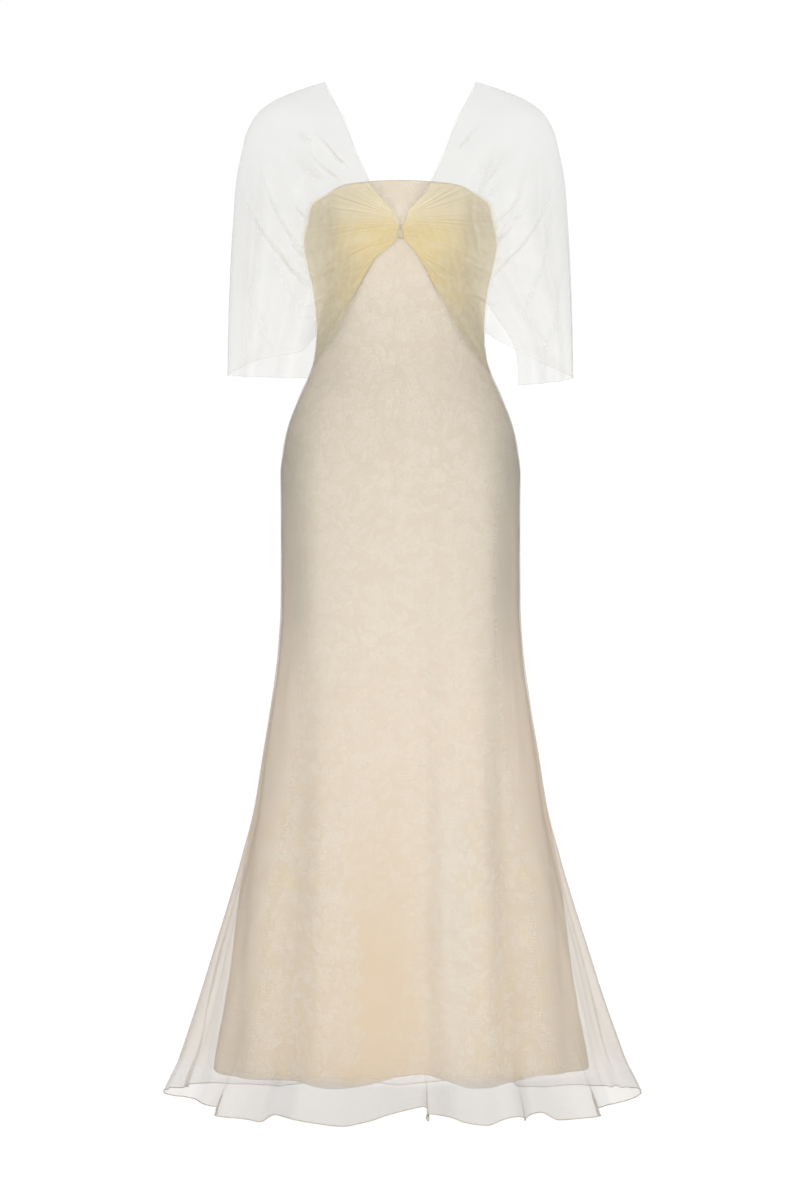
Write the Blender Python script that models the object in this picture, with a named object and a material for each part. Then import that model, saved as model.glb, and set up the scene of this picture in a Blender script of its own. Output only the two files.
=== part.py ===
"""A full-length lace dress with a sheer overskirt and sheer draped sleeves, filled out as worn. Lengths in the tables are
millimetres and the model is in metres. The front faces -Y, +Z is up, and the origin is the middle of the shoulder line."""

import bpy
import numpy as np

MM = 0.001
SEAM = 0.2  # half of the gap that neighbouring panels leave at a seam
LACE = 1.5  # wall of the lace panels
SHEER = 1.0  # wall of the sheer panels
APART = 0.4  # from the lace to the sheer overskirt that lies on it
LIFT = 5.5  # from the lace to the middle of a drape's wall
BODY_SQUARE = 0.91  # a body section's power: 1 is an ellipse, less is squarer
CAPE_SQUARE = 1.12
FRONT_COLUMNS = 26
BACK_COLUMNS = 11


class Table:
    """A short table. Its first column is the key, and a smooth curve through each other column can be read at any key."""

    def __init__(self, columns, *rows):
        data = np.array(sorted(rows), float)
        self.key = data[:, 0]
        self.data = {name: data[:, i] for i, name in enumerate(columns)}

    def __call__(self, name, at):
        x, y = self.key, self.data[name]
        h = np.diff(x)
        d = np.diff(y) / h
        m = np.zeros(len(x))
        same = d[1:] * d[:-1] > 0
        w1, w2 = 2 * h[1:] + h[:-1], h[1:] + 2 * h[:-1]
        with np.errstate(divide="ignore", invalid="ignore"):
            mean = (w1 + w2) / (w1 / d[:-1] + w2 / d[1:])
        m[1:-1] = np.where(same, mean, 0)
        m[0], m[-1] = d[0], d[-1]
        at = np.asarray(at, float)
        i = np.clip(np.searchsorted(x, at, side="right") - 1, 0, len(h) - 1)
        t = (at - x[i]) / h[i]
        inside = (
            (1 + 2 * t) * (1 - t) ** 2 * y[i]
            + t * (1 - t) ** 2 * h[i] * m[i]
            + t * t * (3 - 2 * t) * y[i + 1]
            + t * t * (t - 1) * h[i] * m[i + 1]
        )
        below = y[0] + (at - x[0]) * m[0]
        above = y[-1] + (at - x[-1]) * m[-1]
        return np.where(at < x[0], below, np.where(at > x[-1], above, inside))


# Outside of the lace layer: half width, and depth before and behind the shoulder line.
BODY = Table(
    ("z", "half", "front", "back"),
    (0, 100, 30, 60),
    (-100, 116, 90, 84),
    (-150, 123, 107, 92),
    (-175, 127, 110, 94),
    (-200, 132, 112, 96),
    (-236, 138, 112, 97),
    (-270, 132.5, 108, 95),
    (-300, 125.5, 101, 91),
    (-330, 121.5, 94, 87),
    (-372, 120.4, 88, 85),
    (-400, 123.5, 90, 88),
    (-426, 132, 94, 94),
    (-445, 141, 97, 101),
    (-465, 149, 100, 108),
    (-494, 160, 104, 115),
    (-530, 168, 107, 121),
    (-566, 171.5, 109, 125),
    (-620, 171, 110, 126),
    (-746, 170.5, 113, 121),
    (-818, 174, 118, 122),
    (-890, 183, 126, 130),
    (-962, 195, 134, 142),
    (-1034, 206, 143, 155),
    (-1106, 220.5, 155, 169),
    (-1178, 231.5, 169, 184),
    (-1250, 240, 181, 197),
    (-1322, 251, 193, 209),
    (-1387, 264, 203, 219),
    (-1414, 268, 206, 222),
    (-1440, 271, 209, 225),
)
# How far the overskirt flares past the lace skirt.
FLARE = Table(
    ("z", "half", "front", "back"),
    (-1030, 0, 0, 0),
    (-1060, 0, 0, 0),
    (-1120, 4, 2, 3),
    (-1178, 12.3, 6, 8),
    (-1250, 26, 13, 18),
    (-1322, 37, 23, 32),
    (-1400, 49, 34, 49),
    (-1450, 66.7, 42, 61),
    (-1490, 77, 48, 68),
)
# Cups: each is a soft mound on the front of the body.
CUP_X, CUP_Z, CUP_WIDE, CUP_TALL, CUP_DEEP = 70, -228, 50, 52, 26
# Upright folds of the skirt, by the angle round from the centre front.
FOLDS = Table(
    ("angle", "push"),
    (-180, -8),
    (-161, 8),
    (-142, -9),
    (-123, 8),
    (-106, -7),
    (-88, -1.5),
    (-75, 3),
    (-62, -6),
    (-48, 7),
    (-34, -9),
    (-22, 6),
    (-8, 2),
    (5, 5),
    (12, -7),
    (24, 6),
    (33.5, -10),
    (49, 7),
    (63, -5),
    (75, 4),
    (88, 2.5),
    (106, -7),
    (123, 8),
    (142, -9),
    (161, 8),
    (180, -8),
)
FOLDS_FROM, FOLDS_FULL = -600, -1330
FOLDS_HANG = 0.8  # 1: the folds hang straight down, 0: they spread with the skirt
SWING_FROM, SWING_FULL, SWING = -1200, -1470, 0.7  # more fold in the free overskirt

# Edges of the layers, by the angle round from the centre front.
TOP_EDGE = Table(
    ("angle", "z"),
    (-180, -204),
    (-150, -201),
    (-120, -195),
    (-90, -188),
    (-78, -180.5),
    (-66, -175),
    (-56, -170.5),
    (-46, -162),
    (-38, -157),
    (-22, -154),
    (0, -152),
    (22, -154),
    (38, -157),
    (46, -160.5),
    (56, -168),
    (66, -173.5),
    (78, -180),
    (90, -188),
    (120, -195),
    (150, -201),
    (180, -204),
)
LACE_HEM = Table(
    ("angle", "z"),
    (-180, -1424),
    (-130, -1418),
    (-90, -1413),
    (-67, -1421),
    (-34, -1420),
    (-18, -1428),
    (-8, -1422),
    (4, -1407),
    (12, -1417),
    (20, -1428),
    (34, -1423),
    (46, -1414),
    (73, -1416),
    (90, -1413),
    (130, -1418),
    (180, -1424),
)
OUTER_HEM = Table(
    ("angle", "z"),
    (-180, -1475),
    (-150, -1472),
    (-120, -1462),
    (-90, -1451),
    (-63, -1452),
    (-46, -1462),
    (-35, -1474),
    (-28, -1461),
    (-12, -1474),
    (2, -1448),
    (14, -1472),
    (26, -1464),
    (34, -1461),
    (41, -1472),
    (50, -1464),
    (63, -1456),
    (90, -1451),
    (120, -1462),
    (150, -1472),
    (180, -1475),
)
# Under the drapes the overskirt begins at this inverted V.
VEE = Table(
    ("across", "z"),
    (-140, -405),
    (-106, -352),
    (-74, -312),
    (-42, -258),
    (-20, -228),
    (0, -214),
    (20, -228),
    (42, -262),
    (74, -318),
    (106, -362),
    (140, -412),
)
SIDE_TOP = -412  # the overskirt's edge on the side seam
BACK_TOP = -398  # and at the centre back
LEVELS = (-480, -540, -600, -700, -800, -885, -965, -1040, -1110, -1180, -1250, -1320)

# The sleeves and the draped layer over the chest, from shoulder to cuff.
CAPE = Table(
    ("z", "half", "front", "back"),
    (0, 109, 5, 5),
    (-6, 129, 15, 13),
    (-12, 146, 23, 20),
    (-20, 167, 33, 28),
    (-29, 185, 43, 36),
    (-46, 206, 59, 49),
    (-63, 217, 71, 59),
    (-81, 224, 83, 68),
    (-98, 228, 94, 76),
    (-132, 235, 112, 88),
    (-155, 238, 121, 95),
    (-200, 241, 131, 104),
    (-230, 243, 133, 107),
    (-270, 245, 127, 107),
    (-323, 247, 116, 104),
    (-372, 248, 104, 98),
    (-422, 248.5, 92, 92),
    (-440, 248.5, 88, 90),
)
# Gathers of a front drape, each a line out from the centre front. At a third, two thirds and all of its length it has
# its distance across, its height, and how far it has left the body (0) for the sleeve (1). 999 is the outer edge.
RAY = ("turn", "x1", "z1", "w1", "x2", "z2", "w2", "x3", "z3", "w3")
RAYS = (
    (0, 48, -288, 0, 91, -351, 0, 999, -415, 0),
    (1, 45, -272, 0, 95, -318, 0, 999, -366, 0),
    (2, 42, -262, 0, 98, -301, 0.03, 145, -389, 0.2),
    (3, 40, -252, 0, 104, -290, 0.12, 201, -401, 0.75),
    (4, 38, -243, 0, 112, -280, 0.3, 999, -422, 1),
    (5, 37, -236, 0, 120, -270, 0.5, 999, -380, 1),
    (6, 37, -230, 0, 126, -258, 0.6, 999, -330, 1),
    (7, 37, -224, 0, 130, -246, 0.65, 999, -280, 1),
    (8, 38, -218, 0, 132, -232, 0.7, 999, -230, 1),
    (9, 38, -212, 0, 134, -216, 0.75, 999, -180, 1),
    (10, 38, -206, 0, 136, -196, 0.8, 999, -135, 1),
    (11, 38, -200, 0, 134, -176, 0.85, 999, -98, 1),
    (12, 38, -193, 0.05, 128, -156, 0.9, 999, -70, 1),
    (13, 38, -186, 0.1, 120, -136, 0.95, 999, -46, 1),
    (14, 39, -177, 0.2, 108, -116, 0.98, 999, -28, 1),
    (15, 40, -167, 0.3, 94, -98, 1, 999, -12, 1),
    (16, 42, -155, 0.45, 76, -76, 1, 999, 0, 1),
)
RAYS_RIGHT = {
    0: (0, 47, -295, 0, 93, -358, 0, 999, -424, 0),
    1: (1, 44, -276, 0, 97, -320, 0, 999, -360, 0),
    2: (2, 42, -264, 0, 99, -302, 0.03, 140, -372, 0.15),
    3: (3, 40, -253, 0, 105, -290, 0.12, 195, -402, 0.72),
    4: (4, 38, -243, 0, 112, -280, 0.3, 999, -425, 1),
}
RAY_STEPS = (0, 0.1, 0.22, 0.35, 0.48, 0.61, 0.73, 0.83, 0.91, 0.97, 1)
KNOT_X, KNOT_TOP, KNOT_FOOT = 3.5, -223, -233
# Inner edge of a sleeve's back layer.
BACK_EDGE = Table(
    ("z", "left", "right"),
    (0, 109, 109),
    (-12, 100, 100),
    (-46, 82, 82),
    (-98, 64, 64),
    (-150, 43, 43),
    (-200, 47, 48),
    (-260, 64, 84),
    (-330, 90, 138),
    (-380, 108, 167),
    (-400, 113, 171),
    (-425, 118, 172),
    (-436, 120, 172),
)
BACK_RIDGE = (0, -6, -12, -20, -28, -37, -46, -58, -70)
BACK_ROWS = (0, 0.08, 0.2, 0.33, 0.46, 0.6, 0.74, 0.88, 1)
BACK_HEM = {"left": (-423, -422), "right": (-434, -425)}  # at the inner edge, at the fold
TAB_WIDE, TAB_TALL, TAB_OUT = 11, 11, 2.0

COLOURS = {
    "lace": ((0.77, 0.68, 0.57, 1), 0.8),
    "overlay": ((0.85, 0.8, 0.72, 1), 0.6),
    "drape": ((0.86, 0.8, 0.58, 1), 0.6),
    "sleeve": ((0.85, 0.85, 0.8, 1), 0.6),
}


def ease(at, start, end):
    t = np.clip((np.asarray(at, float) - start) / (end - start), 0, 1)
    return t * t * (3 - 2 * t)


def power(value, e):
    return np.sign(value) * np.abs(value) ** e


def cups(x, z):
    tall = np.where(z > CUP_Z, CUP_TALL * 1.15, CUP_TALL * 0.95)
    off = ((np.abs(x) - CUP_X) / CUP_WIDE) ** 2 + ((z - CUP_Z) / tall) ** 2
    return CUP_DEEP * np.exp(-off)


def turned(angle):
    """The same angle from -180 to 180."""
    return (np.asarray(angle, float) + 180) % 360 - 180


def fold_angle(angle, z):
    """The angle at which a fold's line meets the hem, for a point higher up it."""
    a = turned(angle)
    r = np.radians(a)
    hang = FOLDS_HANG * ease(np.abs(np.cos(r)), 0.0, 0.45)
    here = BODY("half", z)
    wide = here + hang * (BODY("half", -1440.0) - here)
    share = np.clip(power(np.abs(np.sin(r)), BODY_SQUARE) * here / wide, 0, 1)
    low = np.degrees(np.arcsin(share ** (1 / BODY_SQUARE)))
    low = np.where(np.abs(a) <= 90, low, 180 - low)
    return np.where(hang > 0, np.sign(a) * low, a)


def body(angle, z, flared=False):
    """A point of the lace layer's outside, or of the flared overskirt."""
    a = np.radians(angle)
    front = np.abs(turned(angle)) <= 90
    half = BODY("half", z)
    depth = np.where(front, BODY("front", z), BODY("back", z))
    if flared:
        half = half + FLARE("half", z)
        depth = depth + np.where(front, FLARE("front", z), FLARE("back", z))
    x = half * power(np.sin(a), BODY_SQUARE)
    y = -depth * power(np.cos(a), BODY_SQUARE)
    y = y - cups(x, z) * np.clip(np.cos(a), 0, 1)
    fold = FOLDS("push", fold_angle(angle, z)) * ease(z, FOLDS_FROM, FOLDS_FULL)
    if flared:
        fold = fold * (1 + SWING * ease(z, SWING_FROM, SWING_FULL))
    return np.stack([x + fold * np.sin(a), y - fold * np.cos(a), z], axis=-1)


def normals(point, u, v, step):
    """Unit normals of point(u, v), from small steps either way."""
    du = point(u + step, v) - point(u - step, v)
    dv = point(u, v + step) - point(u, v - step)
    n = np.cross(du, dv)
    return n / np.linalg.norm(n, axis=-1, keepdims=True)


def wall(name, points, outward, low, high, kind, flip_after=None):
    """One closed wall from a grid of points: its faces lie low and high along the outward normals, in millimetres."""
    rows, columns = points.shape[:2]
    outer = points + outward * high
    inner = points + outward * low
    count = rows * columns

    def at(i, j, layer):
        return layer * count + i * columns + j

    faces = []
    for i in range(rows - 1):
        for j in range(columns - 1):
            turn = flip_after is not None and j >= flip_after
            for layer in (0, 1):
                a, b = at(i, j, layer), at(i, j + 1, layer)
                c, d = at(i + 1, j + 1, layer), at(i + 1, j, layer)
                pair = [(a, b, d), (b, c, d)] if turn else [(a, b, c), (a, c, d)]
                faces += pair if layer == 0 else [f[::-1] for f in pair]
    rim = [(0, j) for j in range(columns - 1)]
    rim += [(i, columns - 1) for i in range(rows - 1)]
    rim += [(rows - 1, j) for j in range(columns - 1, 0, -1)]
    rim += [(i, 0) for i in range(rows - 1, 0, -1)]
    for k, (i, j) in enumerate(rim):
        m, n = rim[(k + 1) % len(rim)]
        a, b = at(i, j, 0), at(m, n, 0)
        c, d = at(m, n, 1), at(i, j, 1)
        faces += [(b, a, d), (b, d, c)]
    spots = np.concatenate([outer.reshape(-1, 3), inner.reshape(-1, 3)])
    # The faces above look out where the grid runs clockwise as seen from outside.
    corner = spots[np.array(faces)]
    if np.einsum("ij,ij->", corner[:, 0], np.cross(corner[:, 1], corner[:, 2])) < 0:
        faces = [f[::-1] for f in faces]
    mesh = bpy.data.meshes.new(name)
    mesh.from_pydata((spots * MM).tolist(), [], faces)
    mesh.update()
    thing = bpy.data.objects.new(name, mesh)
    bpy.context.scene.collection.objects.link(thing)
    mesh.materials.append(material(name, kind))
    return thing


def material(name, kind):
    colour, rough = COLOURS[kind]
    made = bpy.data.materials.new(name)
    made.use_nodes = True
    shader = made.node_tree.nodes["Principled BSDF"]
    shader.inputs["Base Color"].default_value = colour
    shader.inputs["Roughness"].default_value = rough
    shader.inputs["Metallic"].default_value = 0.0
    made.diffuse_color = colour
    return made


def columns_of(panel):
    """Angles of a panel's columns, from its left edge as seen from outside."""
    if panel == "front":
        return np.linspace(-90, 90, FRONT_COLUMNS + 1)
    if panel == "left":
        return np.linspace(-180, -90, BACK_COLUMNS + 1)
    return np.linspace(90, 180, BACK_COLUMNS + 1)


def start_of_overlay(panel, angles):
    """Height of the overskirt's upper edge on each column."""
    if panel != "front":
        return BACK_TOP + (SIDE_TOP - BACK_TOP) * ease(np.abs(angles), 180, 90)
    z = np.full(len(angles), -300.0)
    for _ in range(40):
        x = BODY("half", z) * power(np.sin(np.radians(angles)), BODY_SQUARE)
        z = 0.5 * z + 0.5 * VEE("z", x)
    z[0] = z[-1] = SIDE_TOP
    return z


def rows_of(panel, layer):
    """Heights of a panel's grid, a row for each line down it."""
    angles = columns_of(panel)
    start = start_of_overlay(panel, angles)
    rows = []
    if layer == "lace":
        top = TOP_EDGE("z", angles)
        steps = 6 if panel == "front" else 5
        rows = [top + (start - top) * k / steps for k in range(steps)]
    steps = 3 if panel == "front" else 1
    rows += [start + (LEVELS[0] - start) * k / steps for k in range(steps)]
    rows += [np.full(len(angles), z, float) for z in LEVELS]
    last = (LACE_HEM if layer == "lace" else OUTER_HEM)("z", angles)
    if layer != "lace":
        rows.append((rows[-1] + last) / 2)
    rows.append(last)
    return np.array(rows)


def skirt_panel(name, panel, layer):
    angles = columns_of(panel)
    z = rows_of(panel, layer)
    a = np.broadcast_to(angles, z.shape)
    flared = layer == "overlay"
    outward = normals(lambda p, q: body(p, q, flared), a, z, 0.05)
    points = body(a, z, flared)
    outward = outward * np.sign(np.einsum("ijk,ijk->ij", outward, points * (1, 1, 0)))[
        ..., None
    ]
    points[..., 1] += SEAM if panel != "front" else -SEAM
    points[..., 0] += {"front": 0, "left": -SEAM, "right": SEAM}[panel]
    low, high = (-LACE, 0) if layer == "lace" else (APART, APART + SHEER)
    flip = FRONT_COLUMNS // 2 if panel == "front" else (0 if panel == "right" else None)
    wall(name, points, outward, low, high, layer, flip)


def cape(phi, z, away, front):
    """A point of the drapes: away is 0 on the body and 1 on the sleeve, and phi is 90 at the outer edge."""
    column = "front" if front else "back"
    half = (1 - away) * (BODY("half", z) + LIFT) + away * CAPE("half", z)
    depth = (1 - away) * (BODY(column, z) + LIFT) + away * CAPE(column, z)
    square = (1 - away) * BODY_SQUARE + away * CAPE_SQUARE
    a = np.radians(phi)
    x = half * power(np.sin(a), square)
    y = depth * power(np.cos(a), square)
    if front:
        y = y + cups(x, z) * (1 - 0.4 * away) * np.clip(np.cos(a), 0, 1)
    return x, -y if front else y


def half_at(z, away):
    """Half width of a drape's section."""
    return (1 - away) * (BODY("half", z) + LIFT) + away * CAPE("half", z)


def phi_at(x, z, away):
    """The angle at which a drape's section is this far across."""
    half = half_at(z, away)
    square = (1 - away) * BODY_SQUARE + away * CAPE_SQUARE
    return np.degrees(np.arcsin(np.clip(x / half, 0, 1) ** (1 / square)))


def along(values, v):
    """A smooth curve through four values at 0, 1/3, 2/3 and 1."""
    p0, p1, p2, p3 = values
    t = np.asarray(v, float) * 3
    l0 = -(t - 1) * (t - 2) * (t - 3) / 6
    l1 = t * (t - 2) * (t - 3) / 2
    l2 = -t * (t - 1) * (t - 3) / 2
    l3 = t * (t - 1) * (t - 2) / 6
    return p0 * l0 + p1 * l1 + p2 * l2 + p3 * l3


def front_rays(side):
    """The rays of one side as a table of angle, height and distance from the body at each of their points."""
    made = []
    for row in RAYS:
        row = RAYS_RIGHT.get(row[0], row) if side == "right" else row
        line = dict(zip(RAY, row))
        values = [line["turn"]]
        for k in ("1", "2", "3"):
            x, z, w = line["x" + k], line["z" + k], line["w" + k]
            values += [min(x, float(half_at(z, w))), z, w]
        made.append(tuple(values))
    return Table(RAY, *made)


def drape_front(side):
    rays = front_rays(side)
    sign = -1 if side == "left" else 1
    most = RAYS[-1][0]

    def point(u, v):
        share = u / most
        z0 = KNOT_FOOT + (KNOT_TOP - KNOT_FOOT) * share
        z = along([z0] + [rays(c, u) for c in ("z1", "z2", "z3")], v)
        across = along([KNOT_X] + [rays(c, u) for c in ("x1", "x2", "x3")], v)
        across = across - 7.5 * np.exp(-(((v - 0.17) / 0.09) ** 2)) * ease(u, 11, 16)
        away = np.clip(along([0 * u] + [rays(c, u) for c in ("w1", "w2", "w3")], v), 0, 1)
        x, y = cape(phi_at(across, z, away), z, away, True)
        return np.stack([sign * x, y, z], axis=-1)

    u, v = np.meshgrid(np.arange(most + 1.0), RAY_STEPS, indexing="ij")
    points = point(u, v)
    outward = faced(points, -1)
    points[..., 1] -= SEAM
    wall("drape_front_" + side, points, outward, -SHEER / 2, SHEER / 2, "drape", None)


def drape_back(side):
    sign = -1 if side == "left" else 1
    ridge = Table(("u", "z"), *enumerate(BACK_RIDGE))
    most = len(BACK_RIDGE) - 1
    inner_foot, outer_foot = BACK_HEM[side]

    def point(u, v):
        top = ridge("z", u)
        foot = inner_foot + (outer_foot - inner_foot) * u / most
        z = top + (foot - top) * v
        inner = phi_at(np.maximum(BACK_EDGE(side, z), 0), z, 1)
        phi = inner + (90 - inner) * u / most
        phi = 90 - (90 - phi) * ease(v, -0.3, 0.12) ** 0.5
        phi = np.where(v <= 0, 90, phi)
        x, y = cape(phi, z, 1.0, False)
        return np.stack([sign * x, y, z], axis=-1)

    u, v = np.meshgrid(np.arange(most + 1.0), BACK_ROWS, indexing="ij")
    points = point(u, v)
    outward = faced(points, 1)
    points[..., 1] += SEAM
    wall("drape_back_" + side, points, outward, -SHEER / 2, SHEER / 2, "sleeve", None)


def faced(points, toward):
    """Unit normals of a grid, on its front (-1) or back (1) side. Along the shoulder line they stay in its plane, so
    that the front and the back of a sleeve keep their gap."""
    n = np.cross(np.gradient(points, axis=0), np.gradient(points, axis=1))
    n = n * np.sign(toward * n[..., 1].mean())
    n[np.abs(points[..., 1]) < 1e-3, 1] = 0
    return n / np.maximum(np.linalg.norm(n, axis=-1, keepdims=True), 1e-9)


def centre_tab():
    across = np.linspace(-1, 1, 7)
    down = np.linspace(1, -1, 6)
    middle = (KNOT_TOP + KNOT_FOOT) / 2
    u, v = np.meshgrid(across, down)
    pinch = 1 - 0.25 * (1 - v**2)
    x = u * TAB_WIDE / 2 * pinch
    z = middle + v * TAB_TALL / 2
    _, on_drape = cape(phi_at(np.abs(x), z, 0 * z), z, 0 * z, True)
    y = on_drape - TAB_OUT + 0.4 * u**2
    points = np.stack([x, y, z], axis=-1)
    outward = faced(points, -1)
    wall("centre_tab", points, outward, -0.6, 0.6, "drape", None)


def build():
    for old in list(bpy.data.objects):
        bpy.data.objects.remove(old)
    for layer in ("lace", "overlay"):
        skirt_panel(layer + "_front", "front", layer)
        skirt_panel(layer + "_back_left", "left", layer)
        skirt_panel(layer + "_back_right", "right", layer)
    for side in ("left", "right"):
        drape_front(side)
        drape_back(side)
    centre_tab()


build()
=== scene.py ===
"""The looks of a full-length lace dress with a sheer overskirt and sheer draped sleeves, round its solid model. Lengths in
the tables are millimetres. The front faces -Y, +Z is up, and the origin is the middle of the shoulder line."""

import math

import bpy
import numpy as np
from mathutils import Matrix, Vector


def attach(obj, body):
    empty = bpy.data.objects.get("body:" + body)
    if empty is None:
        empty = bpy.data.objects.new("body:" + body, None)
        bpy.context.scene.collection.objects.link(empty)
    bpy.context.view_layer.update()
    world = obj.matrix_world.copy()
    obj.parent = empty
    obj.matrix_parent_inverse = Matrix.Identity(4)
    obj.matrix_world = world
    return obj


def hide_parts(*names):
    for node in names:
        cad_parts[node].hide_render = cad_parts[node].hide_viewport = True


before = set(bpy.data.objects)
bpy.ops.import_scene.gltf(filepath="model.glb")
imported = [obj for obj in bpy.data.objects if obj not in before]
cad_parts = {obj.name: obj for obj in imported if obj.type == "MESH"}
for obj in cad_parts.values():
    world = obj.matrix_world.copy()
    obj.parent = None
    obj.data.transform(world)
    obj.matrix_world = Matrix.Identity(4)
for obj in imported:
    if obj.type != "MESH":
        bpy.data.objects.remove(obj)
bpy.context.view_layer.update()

MM = 0.001
BODY_SQUARE = 0.91
CAPE_SQUARE = 1.12
OVER = 1.1  # from the lace to the sheer overskirt on it
LIFT = 3.4  # from the lace to a drape that lies on it


class Table:
    """A short table. Its first column is the key, and a smooth curve through each other column can be read at any key."""

    def __init__(self, columns, *rows):
        data = np.array(sorted(rows), float)
        self.key = data[:, 0]
        self.data = {name: data[:, i] for i, name in enumerate(columns)}

    def __call__(self, name, at):
        x, y = self.key, self.data[name]
        h = np.diff(x)
        d = np.diff(y) / h
        m = np.zeros(len(x))
        same = d[1:] * d[:-1] > 0
        w1, w2 = 2 * h[1:] + h[:-1], h[1:] + 2 * h[:-1]
        with np.errstate(divide="ignore", invalid="ignore"):
            mean = (w1 + w2) / (w1 / d[:-1] + w2 / d[1:])
        m[1:-1] = np.where(same, mean, 0)
        m[0], m[-1] = d[0], d[-1]
        at = np.asarray(at, float)
        i = np.clip(np.searchsorted(x, at, side="right") - 1, 0, len(h) - 1)
        t = (at - x[i]) / h[i]
        inside = (
            (1 + 2 * t) * (1 - t) ** 2 * y[i]
            + t * (1 - t) ** 2 * h[i] * m[i]
            + t * t * (3 - 2 * t) * y[i + 1]
            + t * t * (t - 1) * h[i] * m[i + 1]
        )
        below = y[0] + (at - x[0]) * m[0]
        above = y[-1] + (at - x[-1]) * m[-1]
        return np.where(at < x[0], below, np.where(at > x[-1], above, inside))


# The form of the layers, as in the solid model.
BODY = Table(
    ("z", "half", "front", "back"),
    (0, 100, 30, 60),
    (-100, 116, 90, 84),
    (-150, 123, 107, 92),
    (-175, 127, 110, 94),
    (-200, 132, 112, 96),
    (-236, 138, 112, 97),
    (-270, 132.5, 108, 95),
    (-300, 125.5, 101, 91),
    (-330, 121.5, 94, 87),
    (-372, 120.4, 88, 85),
    (-400, 123.5, 90, 88),
    (-426, 132, 94, 94),
    (-445, 141, 97, 101),
    (-465, 149, 100, 108),
    (-494, 160, 104, 115),
    (-530, 168, 107, 121),
    (-566, 171.5, 109, 125),
    (-620, 171, 110, 126),
    (-746, 170.5, 113, 121),
    (-818, 174, 118, 122),
    (-890, 183, 126, 130),
    (-962, 195, 134, 142),
    (-1034, 206, 143, 155),
    (-1106, 220.5, 155, 169),
    (-1178, 231.5, 169, 184),
    (-1250, 240, 181, 197),
    (-1322, 251, 193, 209),
    (-1387, 264, 203, 219),
    (-1414, 268, 206, 222),
    (-1440, 271, 209, 225),
)
FLARE = Table(
    ("z", "half", "front", "back"),
    (-1030, 0, 0, 0),
    (-1060, 0, 0, 0),
    (-1120, 4, 2, 3),
    (-1178, 12.3, 6, 8),
    (-1250, 26, 13, 18),
    (-1322, 37, 23, 32),
    (-1400, 49, 34, 49),
    (-1450, 66.7, 42, 61),
    (-1490, 77, 48, 68),
)
CUP_X, CUP_Z, CUP_WIDE, CUP_TALL, CUP_DEEP = 70, -228, 50, 52, 26
FOLDS = Table(
    ("angle", "push"),
    (-180, -8),
    (-161, 8),
    (-142, -9),
    (-123, 8),
    (-106, -7),
    (-88, -1.5),
    (-75, 3),
    (-62, -6),
    (-48, 7),
    (-34, -9),
    (-22, 6),
    (-8, 2),
    (5, 5),
    (12, -7),
    (24, 6),
    (33.5, -10),
    (49, 7),
    (63, -5),
    (75, 4),
    (88, 2.5),
    (106, -7),
    (123, 8),
    (142, -9),
    (161, 8),
    (180, -8),
)
FOLDS_FROM, FOLDS_FULL = -600, -1330
FOLDS_HANG = 0.8  # 1: the folds hang straight down, 0: they spread with the skirt
SWING_FROM, SWING_FULL, SWING = -1200, -1470, 0.7
TOP_EDGE = Table(
    ("angle", "z"),
    (-180, -204),
    (-150, -201),
    (-120, -195),
    (-90, -188),
    (-78, -180.5),
    (-66, -175),
    (-56, -170.5),
    (-46, -162),
    (-38, -157),
    (-22, -154),
    (0, -152),
    (22, -154),
    (38, -157),
    (46, -160.5),
    (56, -168),
    (66, -173.5),
    (78, -180),
    (90, -188),
    (120, -195),
    (150, -201),
    (180, -204),
)
LACE_HEM = Table(
    ("angle", "z"),
    (-180, -1424),
    (-130, -1418),
    (-90, -1413),
    (-67, -1421),
    (-34, -1420),
    (-18, -1428),
    (-8, -1422),
    (0, -1410),
    (5, -1407),
    (12, -1417),
    (20, -1428),
    (34, -1423),
    (46, -1414),
    (73, -1416),
    (90, -1413),
    (130, -1418),
    (180, -1424),
)
OUTER_HEM = Table(
    ("angle", "z"),
    (-180, -1475),
    (-165, -1469),
    (-150, -1474),
    (-135, -1466),
    (-120, -1462),
    (-104, -1456),
    (-90, -1451),
    (-76, -1449),
    (-63, -1450),
    (-52, -1452),
    (-47.5, -1454),
    (-43, -1467),
    (-39, -1470),
    (-34, -1474),
    (-28, -1462),
    (-19, -1469),
    (-11, -1474),
    (-7, -1469),
    (-1.5, -1457),
    (2.6, -1446),
    (4.8, -1466),
    (7, -1457),
    (13, -1471),
    (18, -1474),
    (24, -1463),
    (27.5, -1469),
    (34, -1461),
    (39, -1472),
    (45, -1470),
    (49, -1467),
    (53, -1457),
    (63, -1458),
    (76, -1452),
    (90, -1451),
    (104, -1457),
    (120, -1463),
    (135, -1467),
    (150, -1473),
    (165, -1468),
    (180, -1475),
)
# Tight folds of the free overskirt, where it doubles back on itself. One side of each lies over the other: over is +1
# where the part towards the front centre is in front, and swing is how far it doubles back, in degrees, at the hem.
TUCKS = Table(
    ("at", "wide", "swing", "deep", "over", "start"),
    (-150, 12, 3.2, 7, 1, -1290),
    (-116, 11, 3.0, 6, -1, -1270),
    (-45, 8, 2.4, 8, 1, -1290),
    (5, 6.5, 2.4, 7, -1, -1320),
    (27.5, 6, 1.6, 5, 1, -1340),
    (49.3, 8, 2.4, 8, 1, -1290),
    (118, 11, 3.0, 6, 1, -1270),
    (153, 12, 3.2, 7, -1, -1290),
)
VEE = Table(
    ("across", "z"),
    (-140, -405),
    (-106, -352),
    (-74, -312),
    (-42, -258),
    (-20, -228),
    (0, -214),
    (20, -228),
    (42, -262),
    (74, -318),
    (106, -362),
    (140, -412),
)
SIDE_TOP, BACK_TOP = -412, -398
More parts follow.
